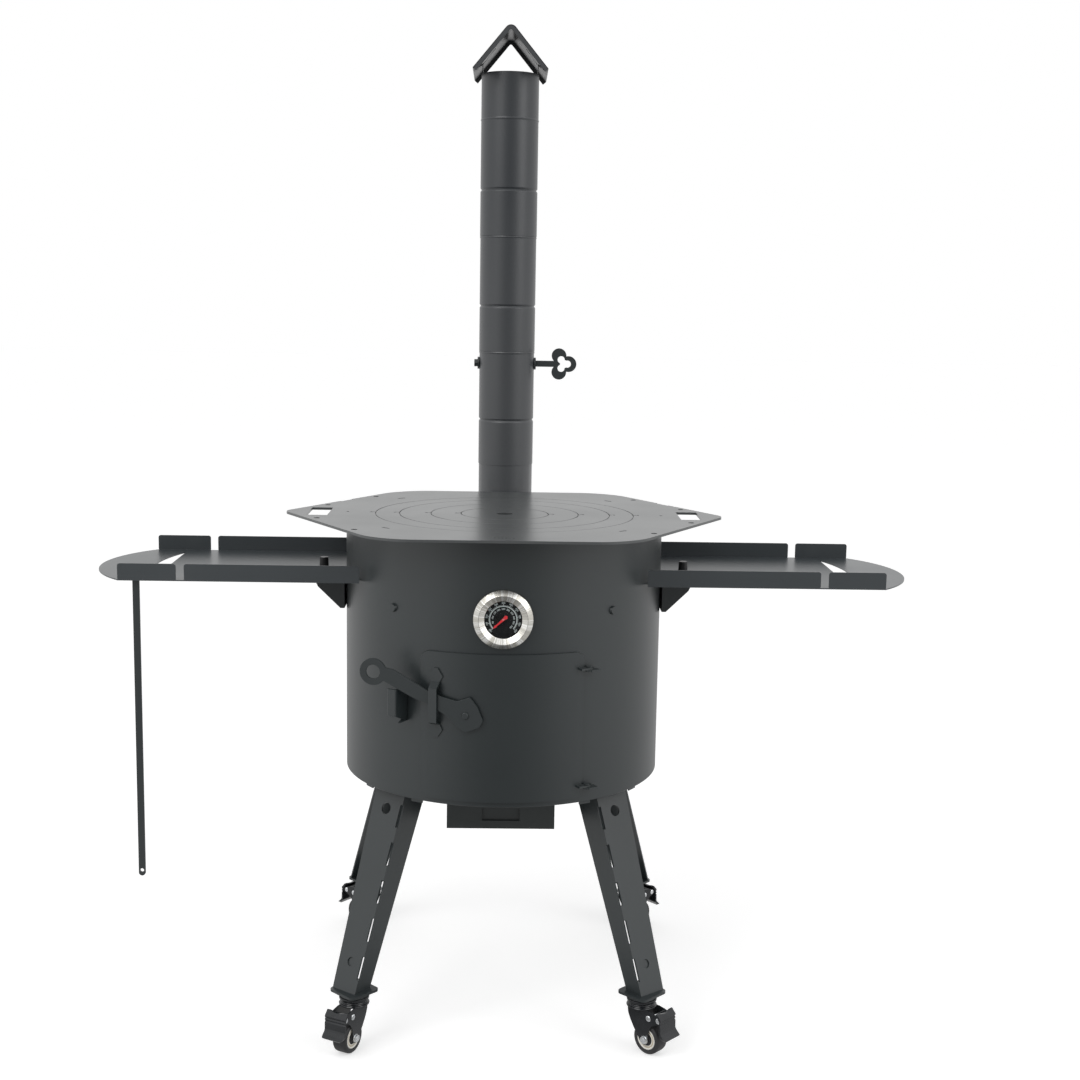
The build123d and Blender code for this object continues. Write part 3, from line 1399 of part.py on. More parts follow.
# Table brackets
with BuildPart() as table_brackets:
    for side in (-1, 1):
        for wall in (-bracket_half_width, bracket_half_width - bracket_sheet):
            with BuildSketch(Plane.XZ.offset(-wall)):
                with BuildLine():
                    Polyline(
                        (side * bracket_seat, table_bottom),
                        (side * bracket_reach, table_bottom),
                        (side * bracket_reach, bracket_nose),
                        (side * bracket_knee_x, bracket_knee),
                        (side * bracket_foot_x, bracket_bottom),
                        (side * bracket_seat, bracket_bottom),
                        close=True,
                    )
                make_face()
            extrude(amount=-bracket_sheet)
        with BuildSketch(Plane.XY.offset(table_bottom - bracket_sheet)):
            with Locations((side * (bracket_seat + bracket_reach) / 2, 0)):
                Rectangle(bracket_reach - bracket_seat, 2 * bracket_half_width)
            with Locations((side * thumb_out, 0)):
                Circle(thumb_stud_radius + running_clearance, mode=Mode.SUBTRACT)
        extrude(amount=bracket_sheet)
        with BuildSketch(Plane.YZ.offset(side * bracket_seat)):
            with Locations((0, (bracket_bottom + table_bottom) / 2)):
                Rectangle(2 * bracket_half_width, table_bottom - bracket_bottom)
            with Locations(*[(0, height) for height in bracket_bolt_heights]):
                Circle(bolt_radius + running_clearance, mode=Mode.SUBTRACT)
        extrude(amount=side * bracket_sheet)
save(table_brackets, "table_brackets")

# Thumb screws through the trays
with BuildPart() as thumb_screws:
    for side in (-1, 1):
        with BuildSketch(Plane(origin=(side * thumb_out, 0, table_top))):
            Circle(thumb_radius)
        extrude(amount=thumb_height, taper=4)
        with BuildSketch(Plane(origin=(side * thumb_out, 0, table_top - thumb_stud_length))):
            Circle(thumb_stud_radius)
        extrude(amount=thumb_stud_length)
save(thumb_screws, "thumb_screws")

# Poker, a flat bar that hangs through the left tray by its hooked end
poker_plane = Plane(origin=(-poker_out, -poker_back, 0), x_dir=(1, 0, 0), z_dir=(0, -1, 0))
hook_bottom = table_top + loose_clearance
with BuildPart() as poker:
    with BuildSketch(poker_plane):
        with Locations((0, (poker_bottom + poker_width / 2 + poker_top) / 2)):
            Rectangle(poker_width, poker_top - poker_bottom - poker_width / 2)
        with Locations((0, poker_bottom + poker_width / 2)):
            Circle(poker_width / 2)
        with Locations((0, poker_bottom + poker_eye_up)):
            Circle(poker_eye, mode=Mode.SUBTRACT)
    extrude(amount=poker_thickness / 2, both=True)
    with BuildSketch(poker_plane):
        with Locations((0, poker_top - poker_thickness / 2)):
            Rectangle(poker_width, poker_thickness)
    extrude(amount=-poker_hook_reach)
    with BuildSketch(poker_plane.offset(-poker_hook_reach)):
        with Locations((0, (poker_top + hook_bottom) / 2)):
            Rectangle(poker_width, poker_top - hook_bottom)
    extrude(amount=poker_thickness)
save(poker, "poker")
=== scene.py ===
import json
import math

import bpy
from mathutils import Euler, Matrix, Vector

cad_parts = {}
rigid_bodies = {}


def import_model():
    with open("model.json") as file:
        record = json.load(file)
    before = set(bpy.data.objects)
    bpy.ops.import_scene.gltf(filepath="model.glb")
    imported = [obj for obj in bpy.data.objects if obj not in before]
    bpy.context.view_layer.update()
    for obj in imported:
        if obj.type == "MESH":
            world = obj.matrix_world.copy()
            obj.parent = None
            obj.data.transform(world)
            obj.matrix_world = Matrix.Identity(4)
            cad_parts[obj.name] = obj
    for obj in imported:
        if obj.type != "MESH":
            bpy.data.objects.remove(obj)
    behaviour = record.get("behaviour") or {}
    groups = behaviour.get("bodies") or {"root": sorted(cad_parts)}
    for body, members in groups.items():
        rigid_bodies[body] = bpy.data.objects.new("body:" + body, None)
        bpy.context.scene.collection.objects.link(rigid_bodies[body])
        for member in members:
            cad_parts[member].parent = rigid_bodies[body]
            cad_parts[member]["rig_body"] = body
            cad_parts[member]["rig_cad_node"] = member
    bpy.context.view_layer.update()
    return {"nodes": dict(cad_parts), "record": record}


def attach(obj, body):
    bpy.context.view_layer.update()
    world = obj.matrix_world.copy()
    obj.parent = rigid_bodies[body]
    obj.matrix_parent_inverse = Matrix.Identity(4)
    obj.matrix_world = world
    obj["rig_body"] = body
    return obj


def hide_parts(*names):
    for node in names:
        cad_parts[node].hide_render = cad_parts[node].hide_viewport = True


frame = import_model()
nodes = frame["nodes"]

# camera, first, because the whole picture hangs on it
cameraLook = {
    "place": (0.0, -2.5606, 1.1661),
    "down": 8.66,  # degrees
    "right": 1.31,
    "roll": 0.96,
    "lens": 52.59,
    "sensor": 36,
    "far": 60,
}


def addCamera(look):
    turn = Euler((math.radians(90 - look["down"]), 0, math.radians(-look["right"]))).to_matrix()
    turn = turn @ Matrix.Rotation(math.radians(look["roll"]), 3, "Z")
    bpy.ops.object.camera_add(location=look["place"], rotation=turn.to_euler())
    camera = bpy.context.object
    camera.name = "photoCamera"
    camera.data.lens = look["lens"]
    camera.data.sensor_width = look["sensor"]
    camera.data.clip_end = look["far"]
    bpy.context.scene.camera = camera


addCamera(cameraLook)
print("camera set")


# small helpers for work in edit mode
def clearAll():
    if bpy.context.object and bpy.context.object.mode != "OBJECT":
        bpy.ops.object.mode_set(mode="OBJECT")
    bpy.ops.object.select_all(action="DESELECT")


def takeUp(piece):
    clearAll()
    piece.select_set(True)
    bpy.context.view_layer.objects.active = piece


def pick(piece, what, test):
    # what is VERT, EDGE or FACE; test gets a middle point and a direction
    takeUp(piece)
    bpy.ops.object.mode_set(mode="EDIT")
    bpy.ops.mesh.select_mode(type=what)
    bpy.ops.mesh.select_all(action="DESELECT")
    bpy.ops.object.mode_set(mode="OBJECT")
    mesh = piece.data
    if what == "VERT":
        for vert in mesh.vertices:
            vert.select = test(vert.co, vert.normal)
    elif what == "EDGE":
        for edge in mesh.edges:
            one, two = (mesh.vertices[i].co for i in edge.vertices)
            edge.select = test((one + two) / 2, (two - one).normalized())
    else:
        for face in mesh.polygons:
            face.select = test(face.center, face.normal)
    bpy.ops.object.mode_set(mode="EDIT")


def addModifier(piece, kind, keep=False, **settings):
    takeUp(piece)
    bpy.ops.object.modifier_add(type=kind)
    modifier = piece.modifiers[-1]
    for key, value in settings.items():
        setattr(modifier, key, value)
    if not keep:
        bpy.ops.object.modifier_apply(modifier=modifier.name)


def finishPiece(piece, name, body, slot, material, replaced=(), smooth=32):
    takeUp(piece)
    bpy.ops.object.transform_apply(location=True, rotation=True, scale=True)
    bpy.ops.object.shade_smooth_by_angle(angle=math.radians(smooth))
    addModifier(piece, "WEIGHTED_NORMAL", keep_sharp=True)  # big faces stay flat beside their rounded edges
    piece.name = name
    piece.data.name = name
    piece.data.materials.clear()
    piece.data.materials.append(material)
    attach(piece, body)
    if replaced:
        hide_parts(*replaced)
    clearAll()
    return piece


def sheetCopy(node, edge, flat=1.5):
    # a node's own shape, merged, with its edges broken as on real sheet; flat is in degrees
    takeUp(nodes[node])
    bpy.ops.object.duplicate()
    piece = bpy.context.object
    bpy.ops.object.parent_clear(type="CLEAR_KEEP_TRANSFORM")
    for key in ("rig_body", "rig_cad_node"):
        if key in piece:
            del piece[key]
    bpy.ops.mesh.customdata_custom_splitnormals_clear()
    bpy.ops.object.mode_set(mode="EDIT")
    bpy.ops.mesh.select_all(action="SELECT")
    bpy.ops.mesh.remove_doubles(threshold=0.00002)
    bpy.ops.mesh.dissolve_limited(angle_limit=math.radians(flat))
    bpy.ops.object.mode_set(mode="OBJECT")
    if edge:
        breakEdges(piece, edge)
    return piece


def startPoint(place):
    # one vertex, made by closing up a small plane
    clearAll()
    bpy.ops.mesh.primitive_plane_add(size=0.01, location=place)
    piece = bpy.context.object
    bpy.ops.object.transform_apply(location=True, rotation=True, scale=True)
    bpy.ops.object.mode_set(mode="EDIT")
    bpy.ops.mesh.select_mode(type="VERT")
    bpy.ops.mesh.select_all(action="SELECT")
    bpy.ops.mesh.merge(type="CENTER")
    return piece


def drawLine(points):
    piece = startPoint(points[0])
    for one, two in zip(points, points[1:]):
        step = tuple(b - a for a, b in zip(one, two))
        bpy.ops.mesh.extrude_vertices_move(TRANSFORM_OT_translate={"value": step})
    bpy.ops.mesh.select_all(action="SELECT")
    bpy.ops.mesh.remove_doubles(threshold=0.000002)
    bpy.ops.mesh.select_all(action="SELECT")
    return piece


def softCorners(points, radius, steps=4):
    # a closed outline with its corners rounded
    made = []
    for i, corner in enumerate(points):
        here = Vector(corner)
        back = Vector(points[i - 1]) - here
        ahead = Vector(points[(i + 1) % len(points)]) - here
        angle = back.angle(ahead)
        if angle > math.radians(172):
            made.append(tuple(here))
            continue
        reach = min(radius / math.tan(angle / 2), back.length * 0.48, ahead.length * 0.48)
        one, two = here + back.normalized() * reach, here + ahead.normalized() * reach
        for step in range(steps + 1):
            t = step / steps
            made.append(tuple(one * (1 - t) ** 2 + here * 2 * t * (1 - t) + two * t * t))
    return made


def turnProfile(points, centre, axis, steps=96):
    # a closed profile spun once round an axis
    piece = drawLine([*points, points[0]])
    bpy.ops.mesh.spin(steps=steps, angle=2 * math.pi, center=centre, axis=axis)
    bpy.ops.mesh.select_all(action="SELECT")
    bpy.ops.mesh.remove_doubles(threshold=0.00001)
    bpy.ops.mesh.normals_make_consistent(inside=False)
    bpy.ops.object.mode_set(mode="OBJECT")
    return piece


def cutSheet(points, thickness, edge=0.0004):
    # a flat sheet from its outline, half its thickness to each side
    piece = drawLine([*points, points[0]])
    bpy.ops.mesh.edge_face_add()
    bpy.ops.object.mode_set(mode="OBJECT")
    addModifier(piece, "SOLIDIFY", thickness=thickness, offset=0)
    if edge:
        breakEdges(piece, edge)
    return piece


def breakEdges(piece, width, segments=2, angle=40):
    addModifier(piece, "BEVEL", width=width, segments=segments, limit_method="ANGLE",
                angle_limit=math.radians(angle), miter_outer="MITER_ARC")


def punch(piece, cutter, operation="DIFFERENCE"):
    addModifier(piece, "BOOLEAN", operation=operation, object=cutter, solver="EXACT")
    bpy.data.objects.remove(cutter)


def unite(piece, other):
    punch(piece, other, "UNION")


def joinUp(pieces):
    takeUp(pieces[0])
    for piece in pieces:
        piece.select_set(True)
    bpy.ops.object.join()
    return bpy.context.object


def copyPiece(piece):
    takeUp(piece)
    bpy.ops.object.duplicate()
    return bpy.context.object


def addRod(radius, depth, place, turn=(0, 0, 0), sides=32, edge=0.0003):
    clearAll()
    bpy.ops.mesh.primitive_cylinder_add(vertices=sides, radius=radius, depth=depth, location=place, rotation=turn)
    piece = bpy.context.object
    bpy.ops.object.transform_apply(location=True, rotation=True, scale=True)
    if edge:
        breakEdges(piece, edge)
    return piece


def addBlock(size, place, turn=(0, 0, 0), edge=0.0003):
    clearAll()
    bpy.ops.mesh.primitive_cube_add(size=1, location=place, rotation=turn)
    piece = bpy.context.object
    piece.scale = size
    bpy.ops.object.transform_apply(location=True, rotation=True, scale=True)
    if edge:
        breakEdges(piece, edge)
    return piece


# materials
def startMaterial(name, metallic, roughness, ior=1.5):
    material = bpy.data.materials.new(name)
    material.use_nodes = True
    shader = material.node_tree.nodes["Principled BSDF"]
    shader.inputs["Metallic"].default_value = metallic
    shader.inputs["Roughness"].default_value = roughness
    shader.inputs["IOR"].default_value = ior
    return material, material.node_tree, shader


def addNode(tree, kind, **values):
    node = tree.nodes.new(kind)
    for key, value in values.items():
        if key in node.inputs:
            node.inputs[key].default_value = value
        else:
            setattr(node, key, value)
    return node


def addNoise(tree, scale, detail=4.0, stretch=(1, 1, 1)):
    place = addNode(tree, "ShaderNodeTexCoord")
    mapping = addNode(tree, "ShaderNodeMapping")
    mapping.inputs["Scale"].default_value = stretch
    noise = addNode(tree, "ShaderNodeTexNoise", Scale=scale, Detail=detail)
    tree.links.new(place.outputs["Object"], mapping.inputs["Vector"])
    tree.links.new(mapping.outputs["Vector"], noise.inputs["Vector"])
    return noise


def addRamp(tree, source, stops):
    ramp = addNode(tree, "ShaderNodeValToRGB")
    ramp.color_ramp.elements[0].position = stops[0][0]
    ramp.color_ramp.elements[0].color = (*stops[0][1], 1)
    ramp.color_ramp.elements[1].position = stops[-1][0]
    ramp.color_ramp.elements[1].color = (*stops[-1][1], 1)
    for place, colour in stops[1:-1]:
        stop = ramp.color_ramp.elements.new(place)
        stop.color = (*colour, 1)
    tree.links.new(source, ramp.inputs["Fac"])
    return ramp


def grey(value):
    return (value, value, value)


def addBumps(tree, shader, *layers):
    # each layer is a height output, its strength and its depth in metres
    last = None
    for height, strength, depth in layers:
        bump = addNode(tree, "ShaderNodeBump", Strength=strength, Distance=depth)
        tree.links.new(height, bump.inputs["Height"])
        if last:
            tree.links.new(last.outputs["Normal"], bump.inputs["Normal"])
        last = bump
    tree.links.new(last.outputs["Normal"], shader.inputs["Normal"])


def makeCoat(name, dark, light, rough, grain=900, ior=1.62, peelDepth=0.00012, paintedLift=None):
    # satin stove enamel: a fine orange peel, and a tone and gloss that drift slightly
    # the last argument is a low height, a high one and what it adds to the tone at the low one, as painted light that
    # makes the lower part lighter
    material, tree, shader = startMaterial(name, 0.0, rough[0], ior)
    cloud = addNoise(tree, 4, 5)
    colour = addRamp(tree, cloud.outputs["Fac"], [(0.3, dark), (0.72, light)])
    base = colour.outputs["Color"]
    if paintedLift:
        # painted light: the tone is made lighter towards the low height
        place = addNode(tree, "ShaderNodeTexCoord")
        parts = addNode(tree, "ShaderNodeSeparateXYZ")
        tree.links.new(place.outputs["Object"], parts.inputs["Vector"])
        height = addNode(tree, "ShaderNodeMapRange")
        for key, value in zip(("From Min", "From Max", "To Min", "To Max"), (*paintedLift, 0.0)):
            height.inputs[key].default_value = value
        tree.links.new(parts.outputs["Z"], height.inputs["Value"])
        paintedLit = addNode(tree, "ShaderNodeVectorMath", operation="ADD")
        tree.links.new(base, paintedLit.inputs[0])
        tree.links.new(height.outputs["Result"], paintedLit.inputs[1])
        base = paintedLit.outputs["Vector"]
    tree.links.new(base, shader.inputs["Base Color"])
    smear = addNoise(tree, 9, 6, (1, 1, 0.35))
    gloss = addRamp(tree, smear.outputs["Fac"], [(0.3, grey(rough[0])), (0.75, grey(rough[1]))])
    tree.links.new(gloss.outputs["Color"], shader.inputs["Roughness"])
    peel = addNoise(tree, grain, 2)
    addBumps(tree, shader, (peel.outputs["Fac"], 0.2, peelDepth))
    return material


def makeMetal(name, dark, light, rough, scratch=(1, 1, 1), metallic=1.0, bump=0.15):
    material, tree, shader = startMaterial(name, metallic, rough[0])
    cloud = addNoise(tree, 60, 4)
    colour = addRamp(tree, cloud.outputs["Fac"], [(0.3, dark), (0.7, light)])
    tree.links.new(colour.outputs["Color"], shader.inputs["Base Color"])
    lines = addNoise(tree, 900, 3, scratch)
    gloss = addRamp(tree, lines.outputs["Fac"], [(0.3, grey(rough[0])), (0.7, grey(rough[1]))])
    tree.links.new(gloss.outputs["Color"], shader.inputs["Roughness"])
    addBumps(tree, shader, (lines.outputs["Fac"], bump, 0.0001))
    return material


coat = makeCoat("satinEnamel", (0.015, 0.0205, 0.022), (0.019, 0.025, 0.0265), (0.36, 0.40))
# the chimney enamel, also on the flue elbow and damper blade, has painted light that makes it lighter towards the low
# height
pipeCoat = makeCoat("pipeEnamel", (0.020, 0.0235, 0.028), (0.025, 0.0285, 0.033), (0.36, 0.41),
                    paintedLift=(0.86, 1.38, 0.034))
# the rain cap and its straps take the body paint made lighter, as painted light against the shade under the roof
capPaintedLightCoat = makeCoat("capEnamelPaintedLight", (0.036, 0.039, 0.042), (0.042, 0.045, 0.048), (0.36, 0.41))
plateCoat = makeCoat("plateSteel", (0.058, 0.063, 0.065), (0.069, 0.074, 0.075), (0.28, 0.32), 500, 1.62, 0.00006)
trayCoat = makeCoat("trayEnamel", (0.036, 0.043, 0.047), (0.043, 0.050, 0.055), (0.31, 0.35), 700, 1.6, 0.00008)
legCoat = makeCoat("legEnamel", (0.017, 0.0225, 0.024), (0.022, 0.0285, 0.0305), (0.36, 0.42))
# the ash box, drawer and pocket take the body paint made lighter, as painted light against the shade under the drum
boxPaintedLightCoat = makeCoat("ashBoxEnamelPaintedLight", (0.025, 0.031, 0.031), (0.031, 0.037, 0.037), (0.36, 0.42))
castIron = makeCoat("castGrate", (0.020, 0.019, 0.018), (0.045, 0.042, 0.04), (0.6, 0.75), 260, 1.5, 0.0006)
zinc = makeMetal("zincPlate", (0.72, 0.74, 0.76), (0.88, 0.90, 0.91), (0.2, 0.32))
dialBlack = makeMetal("dialPaint", (0.004, 0.004, 0.005), (0.008, 0.008, 0.009), (0.45, 0.55), metallic=0.0)
dialBlack.node_tree.nodes["Principled BSDF"].inputs["Specular IOR Level"].default_value = 0.2
needleRed = makeMetal("needlePaint", (0.80, 0.02, 0.03), (0.90, 0.035, 0.045), (0.4, 0.5), metallic=0.0)
castorBlack = makeMetal("castorLacquer", (0.010, 0.012, 0.014), (0.018, 0.020, 0.023), (0.12, 0.22), metallic=0.0)
tyreBlack = makeMetal("tyreRubber", (0.020, 0.020, 0.022), (0.032, 0.032, 0.034), (0.45, 0.6), metallic=0.0)
knobBlack = makeMetal("knobPlastic", (0.012, 0.012, 0.013), (0.02, 0.02, 0.021), (0.3, 0.42), metallic=0.0)


def makeGlass():
    material, tree, shader = startMaterial("gaugeGlass", 0.0, 0.03, 1.17)
    shader.inputs["Transmission Weight"].default_value = 1.0
    shader.inputs["Base Color"].default_value = (0.96, 0.98, 0.98, 1)
    return material


def makeTurnedSteel(centre):
    # lathe-turned steel: its colour has streaks that run out from the middle, partly a brushed tone and partly
    # painted highlight, and fine grooves stretch the reflections along them
    material, tree, shader = startMaterial("turnedSteel", 1.0, 0.24)
    shader.inputs["Anisotropic"].default_value = 0.75
    place = addNode(tree, "ShaderNodeTexCoord")
    flat = addNode(tree, "ShaderNodeMapping")
    flat.inputs["Location"].default_value = (0, 0, -centre)
    flat.inputs["Scale"].default_value = (1, 0, 1)
    around = addNode(tree, "ShaderNodeVectorMath", operation="NORMALIZE")
    brushAndGlintStreaks = addNode(tree, "ShaderNodeTexNoise", Scale=5.5, Detail=3.0, Roughness=0.6)
    tree.links.new(place.outputs["Object"], flat.inputs["Vector"])
    tree.links.new(flat.outputs["Vector"], around.inputs[0])
    tree.links.new(around.outputs["Vector"], brushAndGlintStreaks.inputs["Vector"])
    # the narrow bright stop is painted highlight in the streaks; the other stops are the brushed tone
    stops = [(0.30, (0.48, 0.47, 0.43)), (0.48, (0.60, 0.58, 0.53)), (0.55, (0.88, 0.88, 0.86)),
             (0.60, (0.60, 0.59, 0.55)), (0.76, (0.66, 0.65, 0.62))]
    colour = addRamp(tree, brushAndGlintStreaks.outputs["Fac"], stops)
    tree.links.new(colour.outputs["Color"], shader.inputs["Base Color"])
    tangent = addNode(tree, "ShaderNodeTangent", direction_type="RADIAL", axis="Y")
    tree.links.new(tangent.outputs["Tangent"], shader.inputs["Tangent"])
    return material


gaugeGlass = makeGlass()
turnedSteel = makeTurnedSteel(0.695)
print("materials made")

# every node takes a material first, and new pieces take over from some of them
paintOfSlot = {
    "body_paint": coat,
    "top_steel": plateCoat,
    "cast_grate": castIron,
    "zinc": zinc,
    "bezel_chrome": turnedSteel,
    "dial_black": dialBlack,
    "needle_red": needleRed,
    "glass": gaugeGlass,
    "castor_black": castorBlack,
    "wheel_black": tyreBlack,
    "knob_black": knobBlack,
}
for part in frame["record"]["subparts"]:
    node = nodes[part["node"]]
    node.data.materials.clear()
    node.data.materials.append(paintOfSlot[part["material_slot"]])


# round pieces
alongZ = (0, 0, 1)
alongY = (0, 1, 0)
upright = (math.pi / 2, 0, 0)  # turns what lies flat to face the front


def ringProfile(centre, pairs):
    # radius and height pairs, in mm, on the plane through a vertical axis
    return [(centre[0] + r / 1000, centre[1], z / 1000) for r, z in pairs]


drumLook = {"outer": 257.0, "inner": 254.0, "low": 404.0, "high": 815.0, "edge": 0.6, "steps": 180,
            "openingX": 0.110, "openingY": -0.24, "openingLow": 0.426, "openingHigh": 0.627, "corner": 0.014,
            "flueHole": 0.0494, "fluePlace": (0, 0.25, 0.745), "cutDepths": (0.12, 0.1),
            "tabAngles": (45, 135, 225, 315), "tab": (0.0028, 0.013, 0.0056), "tabPlace": 0.2555, "tabMiddle": 0.8158}


def addDrum(look):
    e = look["edge"]
    low, high, outer, inner = look["low"], look["high"], look["outer"], look["inner"]
    shape = [(inner, low + e), (inner + e, low), (outer - e, low), (outer, low + e),
             (outer, high - e), (outer - e, high), (inner + e, high), (inner, high - e)]
    drum = turnProfile(ringProfile((0, 0), shape), (0, 0, 0), alongZ, look["steps"])
    wide, front, foot, head = (look["opening" + key] for key in ("X", "Y", "Low", "High"))
    corners = [(-wide, front, foot), (wide, front, foot), (wide, front, head), (-wide, front, head)]
    doorDepth, flueDepth = look["cutDepths"]
    punch(drum, cutSheet(softCorners(corners, look["corner"], 6), doorDepth, 0))
    punch(drum, addRod(look["flueHole"], flueDepth, look["fluePlace"], upright, 64, 0))
    tabs = []
    for angle in look["tabAngles"]:
        turn = math.radians(angle)
        place = (look["tabPlace"] * math.cos(turn), look["tabPlace"] * math.sin(turn), look["tabMiddle"])
        tabs.append(addBlock(look["tab"], place, (0, 0, turn)))
    drum = joinUp([drum, *tabs])
    finishPiece(drum, "drumShell", "stove", "body_paint", coat, ["drum_shell"])


# a groove and a bead are pairs of height from the middle and step out, for their lower half
pipeLook = {"centre": (0, 0.35), "radii": (50.0, 50.7, 51.4), "low": (866.0, 1072.0, 1278.0), "length": 284.0,
            "wall": 0.6, "groove": 81.5, "bead": 204.0, "lip": 0.3, "steps": 128,
            "grooveHalf": ((-3.8, 0.0), (-3.2, 0.0), (-2.0, -0.7), (-0.8, -1.7)), "grooveMiddle": -2.0,
            "beadHalf": ((-2.8, 0.0), (-2.2, 0.0), (-1.3, 0.3)), "beadMiddle": 0.8}


def pressedRing(radius, height, half, middle):
    # a groove or a bead as a profile, the same above and below its middle
    lower = [(radius + out, height + up) for up, out in half]
    upper = [(radius + out, height - up) for up, out in reversed(half)]
    return [*lower, (radius + middle, height), *upper]


def addPipes(look):
    for i, name in enumerate(("Lower", "Middle", "Upper")):
        r, z, wall = look["radii"][i], look["low"][i], look["wall"]
        top = z + look["length"]
        outer = [(r, z + look["lip"]),
                 *pressedRing(r, z + look["groove"], look["grooveHalf"], look["grooveMiddle"]),
                 *pressedRing(r, z + look["bead"], look["beadHalf"], look["beadMiddle"]),
                 (r, top - look["lip"])]
        inner = [(a - wall, h) for a, h in reversed(outer)]
        shape = [(r - wall / 2, z), *outer, (r - wall / 2, top), *inner]
        pipe = turnProfile(ringProfile(look["centre"], shape), (*look["centre"], 0), alongZ, look["steps"])
        finishPiece(pipe, "chimneyPipe" + name, "stove", "body_paint", pipeCoat, ["chimney_pipe_" + name.lower()], 40)


addDrum(drumLook)
addPipes(pipeLook)
print("drum and chimney made")

# sheet pieces keep the shape they were cut to and get their edges broken
sheetLook = {
    "drum_floor": ("drumFloor", "stove", "body_paint", coat, 0.0004),
    "flue_elbow": ("flueElbow", "stove", "body_paint", pipeCoat, 0.0004),
    "cap_straps": ("capStraps", "stove", "body_paint", capPaintedLightCoat, 0.0003),
    "damper_blade": ("damperBlade", "damper", "body_paint", pipeCoat, 0.0003),
    "damper_nut": ("damperNut", "damper", "body_paint", coat, 0.0004),
    "damper_washers": ("damperWashers", "stove", "body_paint", coat, 0.0002),
    "shell_bolts": ("shellBolts", "stove", "body_paint", coat, 0.0006),
    "latch_rivet": ("latchRivet", "door", "body_paint", coat, 0.0006),
    "pot_supports": ("potSupports", "stove", "body_paint", coat, 0.0003),
    "fire_grate": ("fireGrate", "stove", "cast_grate", castIron, 0.0008),
    "thermometer_case": ("gaugeCase", "stove", "zinc", zinc, 0.0003),
    "thumb_screws": ("thumbScrews", "stove", "knob_black", knobBlack, 0.0006),
    "top_plate": ("topPlate", "top_plate", "top_steel", plateCoat, 0.0006),
    "ring_large": ("ringLarge", "ring_large", "top_steel", plateCoat, 0.0004),
    "ring_medium": ("ringMedium", "ring_medium", "top_steel", plateCoat, 0.0004),
    "ring_small": ("ringSmall", "ring_small", "top_steel", plateCoat, 0.0004),
    "centre_disc": ("centreDisc", "centre_disc", "top_steel", plateCoat, 0.0004),
    "door_panel": ("doorPanel", "door", "body_paint", coat, 0.0006),
    "hinge_lugs": ("hingeLugs", "stove", "body_paint", coat, 0.0004),
    "latch_lever": ("latchLever", "latch", "body_paint", coat, 0.0006),
    "latch_guide": ("latchGuide", "door", "body_paint", coat, 0.0004),
    "ash_housing": ("ashHousing", "stove", "body_paint", boxPaintedLightCoat, 0.0003),
    "ash_drawer": ("ashDrawer", "ash_drawer", "body_paint", boxPaintedLightCoat, 0.0003),
    "leg_front_right": ("legFrontRight", "stove", "body_paint", legCoat, 0.0007),
    "leg_front_left": ("legFrontLeft", "stove", "body_paint", legCoat, 0.0007),
    "leg_rear_right": ("legRearRight", "stove", "body_paint", legCoat, 0.0007),
    "leg_rear_left": ("legRearLeft", "stove", "body_paint", legCoat, 0.0007),
    "table_left": ("tableLeft", "stove", "body_paint", trayCoat, 0.0005),
    "table_right": ("tableRight", "stove", "body_paint", trayCoat, 0.0005),
    "table_brackets": ("tableBrackets", "stove", "body_paint", coat, 0.0004),
    "poker": ("poker", "poker", "body_paint", coat, 0.0005),
}
plateLook = {"corner": 0.053, "turns": 10, "edge": 0.0005, "front": 0.2945, "corners": (0.18, 0.196)}


def roundPlate(piece, look):
    # the plate's four long corners are cut round: the edges that stand upright near them
    near, far = look["corners"]
    pick(piece, "EDGE", lambda middle, way: abs(way.z) > 0.9 and abs(middle.y) > look["front"]
         and near < abs(middle.x) < far)
    bpy.ops.mesh.bevel(offset=look["corner"], segments=look["turns"], affect="EDGES")
    bpy.ops.object.mode_set(mode="OBJECT")
    breakEdges(piece, look["edge"])


for node, (name, body, slot, material, edge) in sheetLook.items():
    if node == "top_plate":
        piece = sheetCopy(node, 0)
        roundPlate(piece, plateLook)
    else:
        piece = sheetCopy(node, edge)
    finishPiece(piece, name, body, slot, material, [node])
print("sheet pieces made")

# the damper's key is a broad flat clover with one small clover cut out of it
keyLook = {"length": 74.5, "lobes": ((42.5, 15.0, 13.4), (42.5, -15.0, 13.4), (60.0, 0.0, 14.4), (38.5, 0.0, 7.4)),
           "cuts": ((46.5, 7.8, 6.5), (46.5, -7.8, 6.5), (58.0, 0.0, 6.5), (51.8, 0.0, 7.4)), "sheet": 0.0029,
           "middle": 0.35, "cutDepth": 0.02, "edge": 0.0005}


def addKey(look):
    cad = [vert.co for vert in nodes["damper_spindle"].data.vertices]
    start = max(co.x for co in cad) - look["length"] / 1000
    height = (max(co.z for co in cad) + min(co.z for co in cad)) / 2
    key = sheetCopy("damper_spindle", 0)

    def disc(spot, depth):
        x, z, radius = spot
        place = (start + x / 1000, look["middle"], height + z / 1000)
        return addRod(radius / 1000, depth, place, upright, 48, 0)

    for spot in look["lobes"]:
        unite(key, disc(spot, look["sheet"]))
    for spot in look["cuts"]:
        punch(key, disc(spot, look["cutDepth"]))
    breakEdges(key, look["edge"])
    finishPiece(key, "damperSpindle", "damper", "body_paint", coat, ["damper_spindle"])


addKey(keyLook)

# rain cap, a sheet bent round at the ridge with its front and back edges turned down
capLook = {"half": 66.0, "eaves": 1562.0, "apex": 1635.0, "bend": 11.0, "bendSteps": 12, "middle": 0.35,
           "length": 0.17, "sheet": 1.5, "turnDown": 8.0, "edge": 0.0003,
           "slot": (0.017, 0.016, 0.08), "slotX": 0.042, "slotZ": 1.6}


